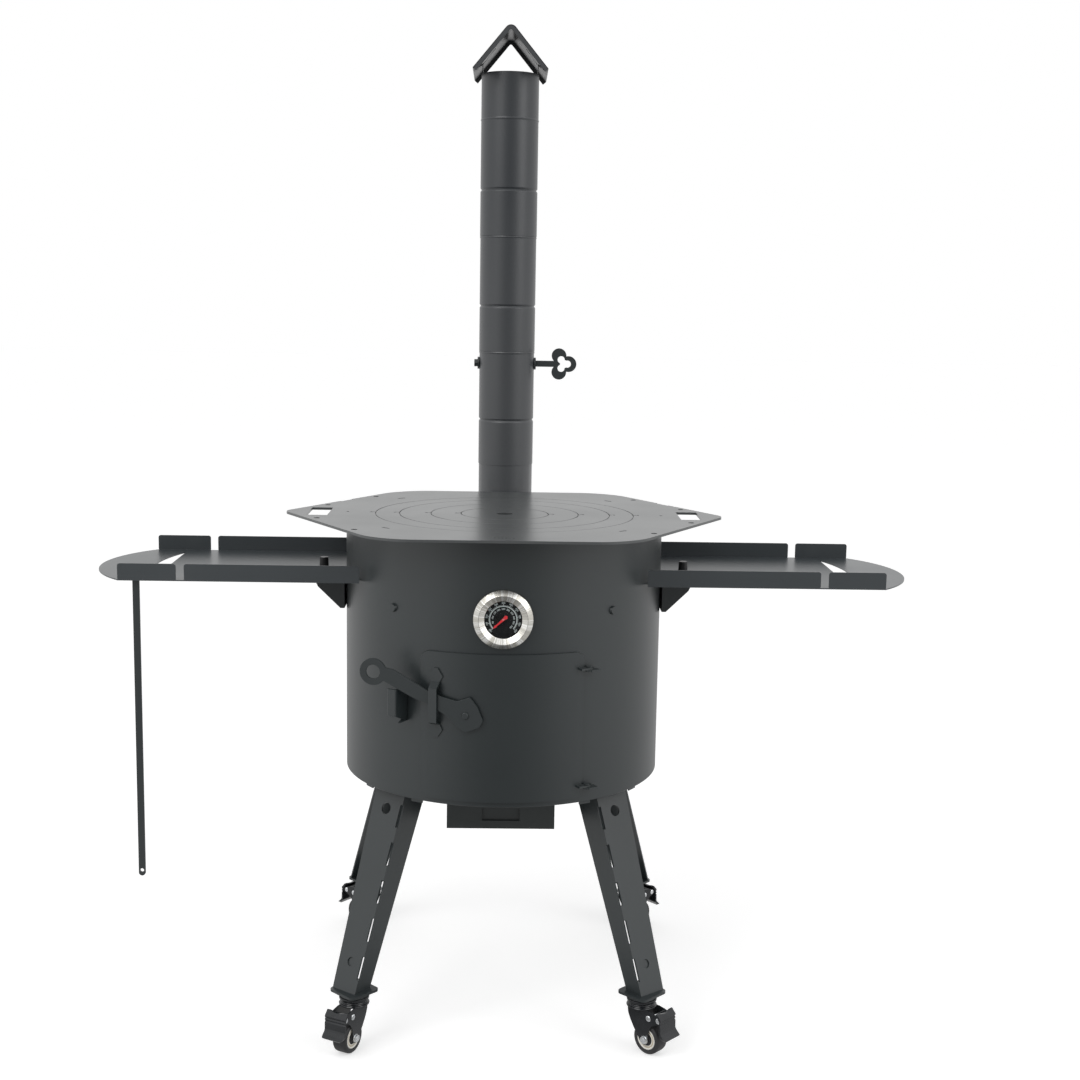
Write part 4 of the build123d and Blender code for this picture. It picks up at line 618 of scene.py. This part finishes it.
def roofOutline(look, depth, y):
    # the slope is the one that meets the round ridge
    half, eaves, bend, steps = look["half"], look["eaves"], look["bend"], look["bendSteps"]
    rise = look["apex"] - bend - eaves
    slope = math.atan2(rise, half) + math.asin(bend / math.hypot(rise, half))

    def ridge(radius, turns):
        return [(radius * math.sin(slope * turn), eaves + rise + radius * math.cos(slope * turn)) for turn in turns]

    turns = [2 * step / steps - 1 for step in range(steps + 1)]
    foot, low = half - depth * math.sin(slope), eaves - depth * math.cos(slope)
    above = [(-half, eaves), *ridge(bend, turns), (half, eaves)]
    below = [(foot, low), *ridge(bend - depth, [-turn for turn in turns]), (-foot, low)]
    return [(x / 1000, y, z / 1000) for x, z in [*above, *below]]


def addCap(look):
    roof = cutSheet(roofOutline(look, look["sheet"], look["middle"]), look["length"], look["edge"])
    for side in (-1, 1):
        place = (side * look["slotX"], look["middle"], look["slotZ"])
        punch(roof, addBlock(look["slot"], place, edge=0))
    pieces = [roof]
    sheet = look["sheet"] / 1000
    for side in (-1, 1):
        y = look["middle"] + side * (look["length"] - sheet) / 2
        pieces.append(cutSheet(roofOutline(look, look["turnDown"], y), sheet, look["edge"]))
    finishPiece(joinUp(pieces), "capRoof", "stove", "body_paint", capPaintedLightCoat, ["cap_roof"])


addCap(capLook)
print("rain cap made")


# a strap bent out from the drum, with its face to the front and the lever's seat on top
catchLook = {"turn": -30.8, "sheet": 0.004, "face": 0.0155, "bend": 0.0022, "edge": 0.0005,
             "tail": 0.037, "tailRoot": (0.012, 0.004), "spare": 0.01, "cut": (0.008, 0.05)}


def addCatch(look):
    cad = [vert.co for vert in nodes["latch_catch"].data.vertices]
    turn = math.radians(look["turn"])
    out = Vector((math.sin(turn), -math.cos(turn), 0))
    left = Vector((-math.cos(turn), -math.sin(turn), 0))
    reach = max(co.dot(out) for co in cad)
    root = min(co.dot(out) for co in cad)
    side = min(co.dot(left) for co in cad)
    high, low = max(co.z for co in cad), min(co.z for co in cad)
    sheet, spare = look["sheet"], look["spare"]
    face, inner = side + look["face"], reach - sheet

    def spot(across, ahead, up):
        return tuple(left * across + out * ahead + Vector((0, 0, up)))

    bend = [(side, root), (side, reach), (face, reach), (face, inner), (side + sheet, inner), (side + sheet, root)]
    outline = softCorners([spot(a, b, (high + low) / 2) for a, b in bend], look["bend"])
    strap = cutSheet(outline, high - low, look["edge"])
    # its foot is cut away on a slant, so that the face ends in a short tail
    tailRoot, tailUp = look["tailRoot"]
    cutPlace, cutWidth = look["cut"]
    slant = [(reach + spare, low - spare), (reach + spare, high - look["tail"]), (root + tailRoot, low + tailUp)]
    punch(strap, cutSheet([spot(side + cutPlace, b, z) for b, z in slant], cutWidth, 0))
    finishPiece(strap, "latchCatch", "stove", "body_paint", coat, ["latch_catch"])


addCatch(catchLook)

# the drawer's finger pull is a shallow pocket with its back a little way in
pocketLook = {"wide": 0.0618, "high": 0.0218, "sheet": 0.0012, "behind": 0.0065, "wall": 0.0060, "lean": -6,
              "holeSide": 0.03, "frontSlack": 0.0002, "sideSlack": 0.0006}


def addPocket(look):
    cad = [vert.co for vert in nodes["ash_drawer"].data.vertices]
    front = min(co.y for co in cad)
    # the hole's own corners, on the drawer's front
    hole = [co.z for co in cad if abs(co.y - front) < look["frontSlack"]
            and abs(abs(co.x) - look["holeSide"]) < look["sideSlack"]]
    middle = (max(hole) + min(hole)) / 2
    wide, high, sheet, wall = look["wide"], look["high"], look["sheet"], look["wall"]
    y = front + look["behind"]
    wallY = y - wall / 2 + sheet
    walls = [addBlock((wide, sheet, high), (0, y, middle), (math.radians(look["lean"]), 0, 0))]
    for side in (-1, 1):
        walls.append(addBlock((sheet, wall, high), (side * (wide - sheet) / 2, wallY, middle)))
    walls.append(addBlock((wide, wall, sheet), (0, wallY, middle - (high - sheet) / 2)))
    finishPiece(joinUp(walls), "drawerPocket", "ash_drawer", "body_paint", boxPaintedLightCoat)


addPocket(pocketLook)
print("catch and drawer pocket made")

# thermometer
# a mark is its length, width and distance from the arc; numbers are radius, size, first value and step
gaugeLook = {"height": 0.695, "back": 0.2573, "steps": 96, "face": 2.08, "arc": 20.2, "arcWidth": (0.8, -0.6),
             "arcSteps": 60, "startAngle": 222, "sweep": 264, "bigMarks": 10, "smallMarks": 5, "paint": 0.00016,
             "bigMark": (0.0024, 0.0008, 1.9), "smallMark": (0.0015, 0.00045, 1.4),
             "numbers": ((25.1, 0.0038, 100, 50), (16.0, 0.0036, 0, 50)), "bold": 0.00007, "raised": 0.00008,
             "needleAngle": 222, "needleLift": 2.8, "needleSheet": 0.0005, "needleEdge": 0.0001}


def gaugeProfile(pairs):
    # radius and how far it stands off the drum, in mm
    return [(0, -gaugeLook["back"] - d / 1000, gaugeLook["height"] + r / 1000) for r, d in pairs]


def addGaugeRing():
    # two polished cones that meet in a soft crest
    shape = [(40.2, 0.1), (44.4, 0.0), (45, 0.5), (45, 3.6), (44.7, 4.4), (44.2, 4.9), (37.9, 10.3), (37.3, 10.7),
             (36.6, 10.75), (35.9, 10.4), (29.2, 6.7), (28.7, 6.4), (28.3, 6.0), (28.35, 5.75), (40.2, 5.75)]
    ring = turnProfile(gaugeProfile(shape), (0, 0, gaugeLook["height"]), alongY, gaugeLook["steps"])
    finishPiece(ring, "gaugeRing", "stove", "bezel_chrome", turnedSteel, ["thermometer_bezel"], 20)


def gaugeSpot(radius, angle, lift):
    turn, reach = math.radians(angle), radius / 1000
    return (reach * math.cos(turn), -gaugeLook["back"] - lift / 1000, gaugeLook["height"] + reach * math.sin(turn))


def gaugeAngle(share):
    # where a share of the scale lies, in degrees
    return gaugeLook["startAngle"] - gaugeLook["sweep"] * share


def addGaugeScale():
    look = gaugeLook
    marks = []
    steps = look["bigMarks"] * look["smallMarks"]
    for i in range(steps + 1):
        angle = gaugeAngle(i / steps)
        length, width, beside = look["smallMark"] if i % look["smallMarks"] else look["bigMark"]
        place = gaugeSpot(look["arc"] + beside, angle, look["face"])
        marks.append(addBlock((length, look["paint"], width), place, (0, -math.radians(angle), 0), 0))
    shares = [i / look["arcSteps"] for i in range(look["arcSteps"] + 1)]
    arc = []
    for beside, run in zip(look["arcWidth"], (shares, reversed(shares))):
        arc += [gaugeSpot(look["arc"] + beside, gaugeAngle(share), look["face"]) for share in run]
    marks.append(cutSheet(arc, look["paint"], 0))
    finishPiece(joinUp(marks), "gaugeScale", "stove", "dial_black", scaleWhite)


def addGaugeNumbers():
    look = gaugeLook
    made = []
    for radius, size, start, step in look["numbers"]:
        for i in range(look["bigMarks"] + 1):
            angle = gaugeAngle(i / look["bigMarks"])
            clearAll()
            bpy.ops.object.text_add(location=(0, 0, 0))
            text = bpy.context.object
            text.data.body = str(start + step * i)
            text.data.align_x = "CENTER"
            text.data.align_y = "CENTER"
            text.data.size = size
            text.data.extrude = look["raised"]
            text.data.offset = look["bold"]
            bpy.ops.object.convert(target="MESH")
            text = bpy.context.object
            text.rotation_euler = upright
            bpy.ops.object.transform_apply(rotation=True)
            text.rotation_euler = (0, math.radians(90 - angle), 0)
            text.location = gaugeSpot(radius, angle, look["face"])
            bpy.ops.object.transform_apply(location=True, rotation=True)
            made.append(text)
    finishPiece(joinUp(made), "gaugeNumbers", "stove", "dial_black", scaleWhite)


def addGaugeNeedle():
    look = gaugeLook
    half = [(-8.0, 0.5), (-6.6, 2.5), (-5.2, 3.0), (-3.4, 2.4), (-1.6, 1.8), (0, 1.9), (8, 1.3), (14.0, 1.0),
            (14.8, 2.0), (20.6, 0.15)]
    turn = math.radians(look["needleAngle"])
    outline = []
    for x, y in [*half, *[(x, -y) for x, y in reversed(half)]]:
        across = x * math.cos(turn) - y * math.sin(turn)
        up = x * math.sin(turn) + y * math.cos(turn)
        outline.append((across / 1000, -look["back"] - look["needleLift"] / 1000, look["height"] + up / 1000))
    needle = cutSheet(outline, look["needleSheet"], look["needleEdge"])
    finishPiece(needle, "gaugeNeedle", "needle", "needle_red", needleRed, ["thermometer_needle"])
    dome = [(0.001, 3.75), (0.7, 3.6), (1.15, 3.1), (1.2, 2.8), (0.001, 2.8)]
    pin = turnProfile(gaugeProfile(dome), (0, 0, look["height"]), alongY, 24)
    finishPiece(pin, "gaugeNeedlePin", "needle", "zinc", zinc)


scaleWhite = makeMetal("scalePaint", (0.52, 0.56, 0.55), (0.62, 0.66, 0.65), (0.45, 0.55), metallic=0.0)
addGaugeRing()
addGaugeScale()
addGaugeNumbers()
addGaugeNeedle()
print("thermometer made")


# castors, modelled once with the wheel trailing along X, then copied to the four corners
castorLook = {"trail": 0.0195, "axleHeight": 0.025, "cheek": 0.014, "sheet": 0.002, "boltSeat": 0.0151,
              "rivets": ((45.5, 64.0), (26.0, 62.0)), "pedalHalf": 0.019,
              "lipCorner": 0.0075, "lipSteps": 8, "lipLow": 0.0339, "lipX": 0.0585, "lipDepth": 0.014, "spare": 0.002}
castorSpots = {"front_right": (0.225571, -0.219585, -44), "front_left": (-0.225571, -0.219585, -118),
               "rear_right": (0.243938, 0.261893, 41), "rear_left": (-0.243938, 0.261893, 140)}
cream = makeMetal("wheelRingCream", (0.86, 0.84, 0.77), (0.93, 0.91, 0.85), (0.35, 0.45), metallic=0.0)
tan = makeMetal("wheelRingTan", (0.52, 0.45, 0.33), (0.62, 0.55, 0.42), (0.4, 0.5), metallic=0.0)


def sideShape(pairs, y=0.0):
    return [(x / 1000, y, z / 1000) for x, z in pairs]


def wheelShape(pairs):
    # radius and distance from the wheel's middle plane, in mm
    look = castorLook
    return [(look["trail"], y / 1000, look["axleHeight"] + r / 1000) for r, y in pairs]


def castorTyre():
    look = castorLook
    half = [(4.2, 12.0), (6.1, 12.0), (6.6, 11.3), (7.2, 9.6), (8.4, 9.2), (16.9, 9.2), (17.1, 10.2), (17.9, 11.6),
            (19.4, 12.2), (21.4, 12.1), (23.3, 11.4), (24.5, 10.1), (24.9, 8.4), (25.0, 5.6)]
    shape = wheelShape([*half, *[(r, -y) for r, y in reversed(half)]])
    return turnProfile(shape, (look["trail"], 0, look["axleHeight"]), alongY, 72)


def castorRing(pairs):
    look = castorLook
    rings = []
    for side in (1, -1):
        shape = wheelShape([(r, side * y) for r, y in pairs])
        rings.append(turnProfile(shape, (look["trail"], 0, look["axleHeight"]), alongY, 72))
    return joinUp(rings)


def castorHead():
    # two pressed rings with the ball race between them
    pairs = [(4.1, 80.1), (20.4, 80.1), (22.4, 80.7), (23.5, 82.0), (23.8, 83.8), (23.2, 85.4), (21.6, 86.2),
             (21.2, 87.2), (22.6, 87.9), (23.7, 89.1), (23.9, 90.6), (23.4, 91.6), (22.6, 91.95), (4.1, 91.95)]
    head = turnProfile(ringProfile((0, 0), pairs), (0, 0, 0), alongZ, 72)
    pin = addRod(0.004, 0.0320, (0, 0, 0.0849), edge=0.0004)
    nut = addRod(0.0057, 0.0049, (0, 0, 0.09855), sides=6, edge=0.0006)
    foot = addRod(0.007, 0.003, (0, 0, 0.0704), edge=0.0006)
    return joinUp([head, pin, nut, foot])


def castorFork():
    look = castorLook
    outline = [(-14.5, 73.9), (-16.0, 68), (-14.6, 60), (-10, 50), (-3, 39), (4.5, 29), (9.2, 22.6), (13.4, 17.6),
               (18.6, 16.0), (23.2, 18.0), (25.6, 23.5), (26.0, 31), (26.5, 38), (28.5, 44), (33, 51), (40, 56),
               (47.6, 58.2), (49.8, 61.2), (49.6, 65.6), (45, 69.4), (36, 72.2), (24, 73.9)]
    cheeks = []
    for side in (1, -1):
        shape = softCorners(sideShape(outline, side * look["cheek"]), 0.005, 3)
        cheeks.append(cutSheet(shape, look["sheet"], 0.0006))
    # a pressed disc under the head, rounded over at its rim
    top = [(4.1, 72.05), (22.8, 72.05), (23.8, 72.9), (23.9, 74.1), (23.1, 75.0), (21.3, 75.4), (20.6, 76.3),
           (21.5, 77.1), (21.9, 78.3), (21.5, 79.3), (20.6, 79.9), (4.1, 79.9)]
    disc = turnProfile(ringProfile((0, 0), top), (0, 0, 0), alongZ, 72)
    bridge = addBlock((0.028, 0.0296, 0.0019), (0.004, 0, 0.07295), edge=0.0006)
    return joinUp([disc, *cheeks, bridge])


def castorBolts():
    look = castorLook
    middle, height = look["trail"], look["axleHeight"]
    pieces = [addRod(0.004, 0.0300, (middle, 0, height), upright)]
    # washer, nut and the axle's end: radius, depth, distance out, sides and edge
    ends = ((0.0066, 0.0010, 0.0004, 40, 0.0003), (0.0063, 0.0034, 0.0026, 6, 0.0007),
            (0.0035, 0.0009, 0.0044, 24, 0.0003))
    dome = [(0.0001, 1.0), (1.1, 1.05), (1.5, 1.2), (3.0, 1.1), (4.1, 0.7), (4.6, 0.15), (4.6, 0.0), (0.0001, 0.0)]
    for side in (1, -1):
        y = side * look["boltSeat"]
        for radius, depth, out, sides, edge in ends:
            pieces.append(addRod(radius, depth, (middle, y + side * out, height), upright, sides, edge))
        for x, z in look["rivets"]:
            shape = [(x / 1000, y + side * d / 1000, (z + r) / 1000) for r, d in dome]
            pieces.append(turnProfile(shape, (x / 1000, 0, z / 1000), alongY, 32))
    for x, z in look["rivets"]:
        pieces.append(addRod(0.002, 0.0302, (x / 1000, 0, z / 1000), upright, 20))
    return joinUp(pieces)


def castorPedal():
    # a ribbed plate that hangs over the tread, with a lip for the toe and two ears on top
    look = castorLook
    outline = [(44.7, 73.0), (44.6, 76.3), (46.4, 76.4), (47.6, 74.6), (52.2, 69.8), (53.4, 68.2), (53.1, 66.6),
               (51.9, 65.2), (52.0, 64.2), (53.3, 63.0), (53.3, 61.8), (52.0, 60.6), (52.1, 59.4), (53.4, 58.0),
               (53.5, 54.0), (53.6, 47.6), (54.6, 44.6), (59.0, 40.4), (63.3, 37.6), (63.4, 36.4), (60.8, 34.1),
               (59.4, 34.4), (55.2, 38.4), (51.4, 42.6), (50.6, 45.6), (50.5, 54.0), (50.5, 66.2)]
    pedal = cutSheet(softCorners(sideShape(outline), 0.0009, 3), 2 * look["pedalHalf"], 0)
    # the lip's two outer corners are cut round
    curve, low, half, spare, steps = (look[key] for key in ("lipCorner", "lipLow", "pedalHalf", "spare", "lipSteps"))
    for side in (-1, 1):
        corner = [(half + spare, low - spare), (half + spare, low + curve)]
        for step in range(steps + 1):
            angle = math.pi / 2 * step / steps
            corner.append((half - curve + curve * math.cos(angle), low + curve - curve * math.sin(angle)))
        corner.append((half - curve, low - spare))
        punch(pedal, cutSheet([(look["lipX"], side * y, z) for y, z in corner], look["lipDepth"], 0))
    breakEdges(pedal, 0.0006)
    # a round bite out of its top leaves the two ears
    punch(pedal, addRod(0.036, 0.04, (0.046, 0, 0.1098), (0, math.pi / 2, 0), 64, 0))
    pivot = [value / 1000 for value in look["rivets"][0]]
    place = (pivot[0], 0, pivot[1])
    tube = addRod(0.0045, 0.0254, place, upright)
    punch(tube, addRod(0.00208, 0.04, place, upright, 32, 0))
    neck = addBlock((0.0034, 0.0254, 0.003), (0.0493, 0, pivot[1]), edge=0.0004)
    return joinUp([pedal, tube, neck])


def placeCastors():
    smooth = 35
    masters = [
        (castorTyre(), "castorTyre", "wheel_", "wheel_black", tyreBlack, "castor_wheel_"),
        (castorRing([(17.3, 9.1), (17.2, 10.9), (16.4, 11.6), (15.2, 11.3), (14.3, 10.4), (14.0, 9.1)]),
         "castorRingOuter", "wheel_", "wheel_black", cream, None),
        (castorRing([(14.2, 9.1), (14.1, 10.2), (12.2, 10.2), (12.0, 9.1)]),
         "castorRingMiddle", "wheel_", "wheel_black", tan, None),
        (castorRing([(12.3, 9.1), (12.2, 10.5), (11.5, 10.9), (10.8, 10.5), (10.6, 9.1)]),
         "castorRingInner", "wheel_", "wheel_black", cream, None),
        (castorFork(), "castorFork", "fork_", "castor_black", castorBlack, "castor_fork_"),
        (castorBolts(), "castorBolts", "fork_", "zinc", zinc, "castor_axle_"),
        (castorPedal(), "castorPedal", "pedal_", "castor_black", castorBlack, "brake_pedal_"),
        (castorHead(), "castorHead", "stove", "castor_black", castorBlack, "castor_heads"),
    ]
    for corner, (x, y, angle) in castorSpots.items():
        label = "".join(word.capitalize() for word in corner.split("_"))
        for master, name, body, slot, material, node in masters:
            piece = copyPiece(master)
            piece.rotation_euler = (0, 0, math.radians(angle))
            piece.location = (x, y, 0)
            ridden = body if body == "stove" else body + corner
            replaced = [] if node is None else [node if node == "castor_heads" else node + corner]
            finishPiece(piece, name + label, ridden, slot, material, replaced, smooth)
    for master, *_ in masters:
        bpy.data.objects.remove(master)


placeCastors()
print("castors made")


# floor and light: polished things see a room that is white at the sides and dimmer towards the front
# front is how bright it is from straight ahead round to the sides; nearFloor is out to farFloor metres
roomLook = {"floor": 0.78, "floorLift": 0.50, "room": 0.62,
            "front": [(0.0, 0.30), (0.04, 0.36), (0.20, 0.80), (0.42, 1.0)],
            "nearFloor": [(0.0, 0.62), (1.0, 1.0)], "farFloor": 5.0, "size": 60}


def addRoomTone(tree, direction):
    # how bright the room is that way: straight to the front is -Y
    ahead = addNode(tree, "ShaderNodeVectorMath", operation="NORMALIZE")
    tree.links.new(direction, ahead.inputs[0])
    parts = addNode(tree, "ShaderNodeSeparateXYZ")
    tree.links.new(ahead.outputs["Vector"], parts.inputs["Vector"])
    shifted = addNode(tree, "ShaderNodeMath", operation="ADD")
    shifted.inputs[1].default_value = 1.0
    tree.links.new(parts.outputs["Y"], shifted.inputs[0])
    return addRamp(tree, shifted.outputs[0], [(place, grey(tone)) for place, tone in roomLook["front"]])


def addFloor():
    clearAll()
    bpy.ops.mesh.primitive_plane_add(size=roomLook["size"], location=(0, 0, 0))
    floor = bpy.context.object
    floor.name = "studioFloor"
    material = bpy.data.materials.new("studioFloorPaper")
    material.use_nodes = True
    tree = material.node_tree
    shader = tree.nodes["Principled BSDF"]
    shader.inputs["Base Color"].default_value = (*grey(roomLook["floor"]), 1)
    shader.inputs["Roughness"].default_value = 0.9
    shader.inputs["Specular IOR Level"].default_value = 0.1
    path = addNode(tree, "ShaderNodeLightPath")
    lift = addNode(tree, "ShaderNodeMath", operation="MULTIPLY")
    lift.inputs[1].default_value = roomLook["floorLift"]
    tree.links.new(path.outputs["Is Camera Ray"], lift.inputs[0])
    shader.inputs["Emission Color"].default_value = (1, 1, 1, 1)
    tree.links.new(lift.outputs[0], shader.inputs["Emission Strength"])
    place = addNode(tree, "ShaderNodeTexCoord")
    tone = addRoomTone(tree, place.outputs["Object"])
    reach = addNode(tree, "ShaderNodeVectorMath", operation="LENGTH")
    tree.links.new(place.outputs["Object"], reach.inputs[0])
    share = addNode(tree, "ShaderNodeMath", operation="DIVIDE")
    share.inputs[1].default_value = roomLook["farFloor"]
    tree.links.new(reach.outputs["Value"], share.inputs[0])
    near = addRamp(tree, share.outputs[0], [(at, grey(value)) for at, value in roomLook["nearFloor"]])
    both = addNode(tree, "ShaderNodeMath", operation="MULTIPLY")
    tree.links.new(tone.outputs["Color"], both.inputs[0])
    tree.links.new(near.outputs["Color"], both.inputs[1])
    mirrored = addNode(tree, "ShaderNodeEmission")
    tree.links.new(both.outputs[0], mirrored.inputs["Strength"])
    mix = addNode(tree, "ShaderNodeMixShader")
    tree.links.new(path.outputs["Is Glossy Ray"], mix.inputs["Fac"])
    tree.links.new(shader.outputs[0], mix.inputs[1])
    tree.links.new(mirrored.outputs[0], mix.inputs[2])
    tree.links.new(mix.outputs[0], tree.nodes["Material Output"].inputs["Surface"])
    floor.data.materials.append(material)


def addWorld():
    world = bpy.context.scene.world or bpy.data.worlds.new("studio")
    bpy.context.scene.world = world
    world.use_nodes = True
    tree = world.node_tree
    tree.nodes.clear()
    out = addNode(tree, "ShaderNodeOutputWorld")
    room = addNode(tree, "ShaderNodeBackground", Color=(1, 1, 1, 1), Strength=roomLook["room"])
    white = addNode(tree, "ShaderNodeBackground", Color=(1, 1, 1, 1), Strength=1.0)
    mirrored = addNode(tree, "ShaderNodeBackground", Color=(1, 1, 1, 1))
    place = addNode(tree, "ShaderNodeTexCoord")
    tone = addRoomTone(tree, place.outputs["Generated"])
    tree.links.new(tone.outputs["Color"], mirrored.inputs["Strength"])
    path = addNode(tree, "ShaderNodeLightPath")
    seen = addNode(tree, "ShaderNodeMath", operation="MAXIMUM")
    tree.links.new(path.outputs["Is Camera Ray"], seen.inputs[0])
    tree.links.new(path.outputs["Is Transmission Ray"], seen.inputs[1])
    first = addNode(tree, "ShaderNodeMixShader")
    tree.links.new(path.outputs["Is Glossy Ray"], first.inputs["Fac"])
    tree.links.new(room.outputs[0], first.inputs[1])
    tree.links.new(mirrored.outputs[0], first.inputs[2])
    second = addNode(tree, "ShaderNodeMixShader")
    tree.links.new(seen.outputs[0], second.inputs["Fac"])
    tree.links.new(first.outputs[0], second.inputs[1])
    tree.links.new(white.outputs[0], second.inputs[2])
    tree.links.new(second.outputs[0], out.inputs["Surface"])


def addLamp(name, place, aim, size, power):
    clearAll()
    turn = (Vector(aim) - Vector(place)).to_track_quat("-Z", "Y").to_euler()
    bpy.ops.object.light_add(type="AREA", location=place, rotation=turn)
    lamp = bpy.context.object
    lamp.name = name
    lamp.data.shape = "RECTANGLE"
    lamp.data.size, lamp.data.size_y = size
    lamp.data.energy = power


addFloor()
addWorld()
addLamp("softKey", (-2.2, -2.4, 3.4), (0, 0, 0.7), (2.4, 2.4), 55)
addLamp("softFill", (2.8, -1.8, 2.6), (0, 0, 0.7), (2.0, 2.6), 30)
bpy.context.scene.view_settings.view_transform = "Standard"
print("stage set")
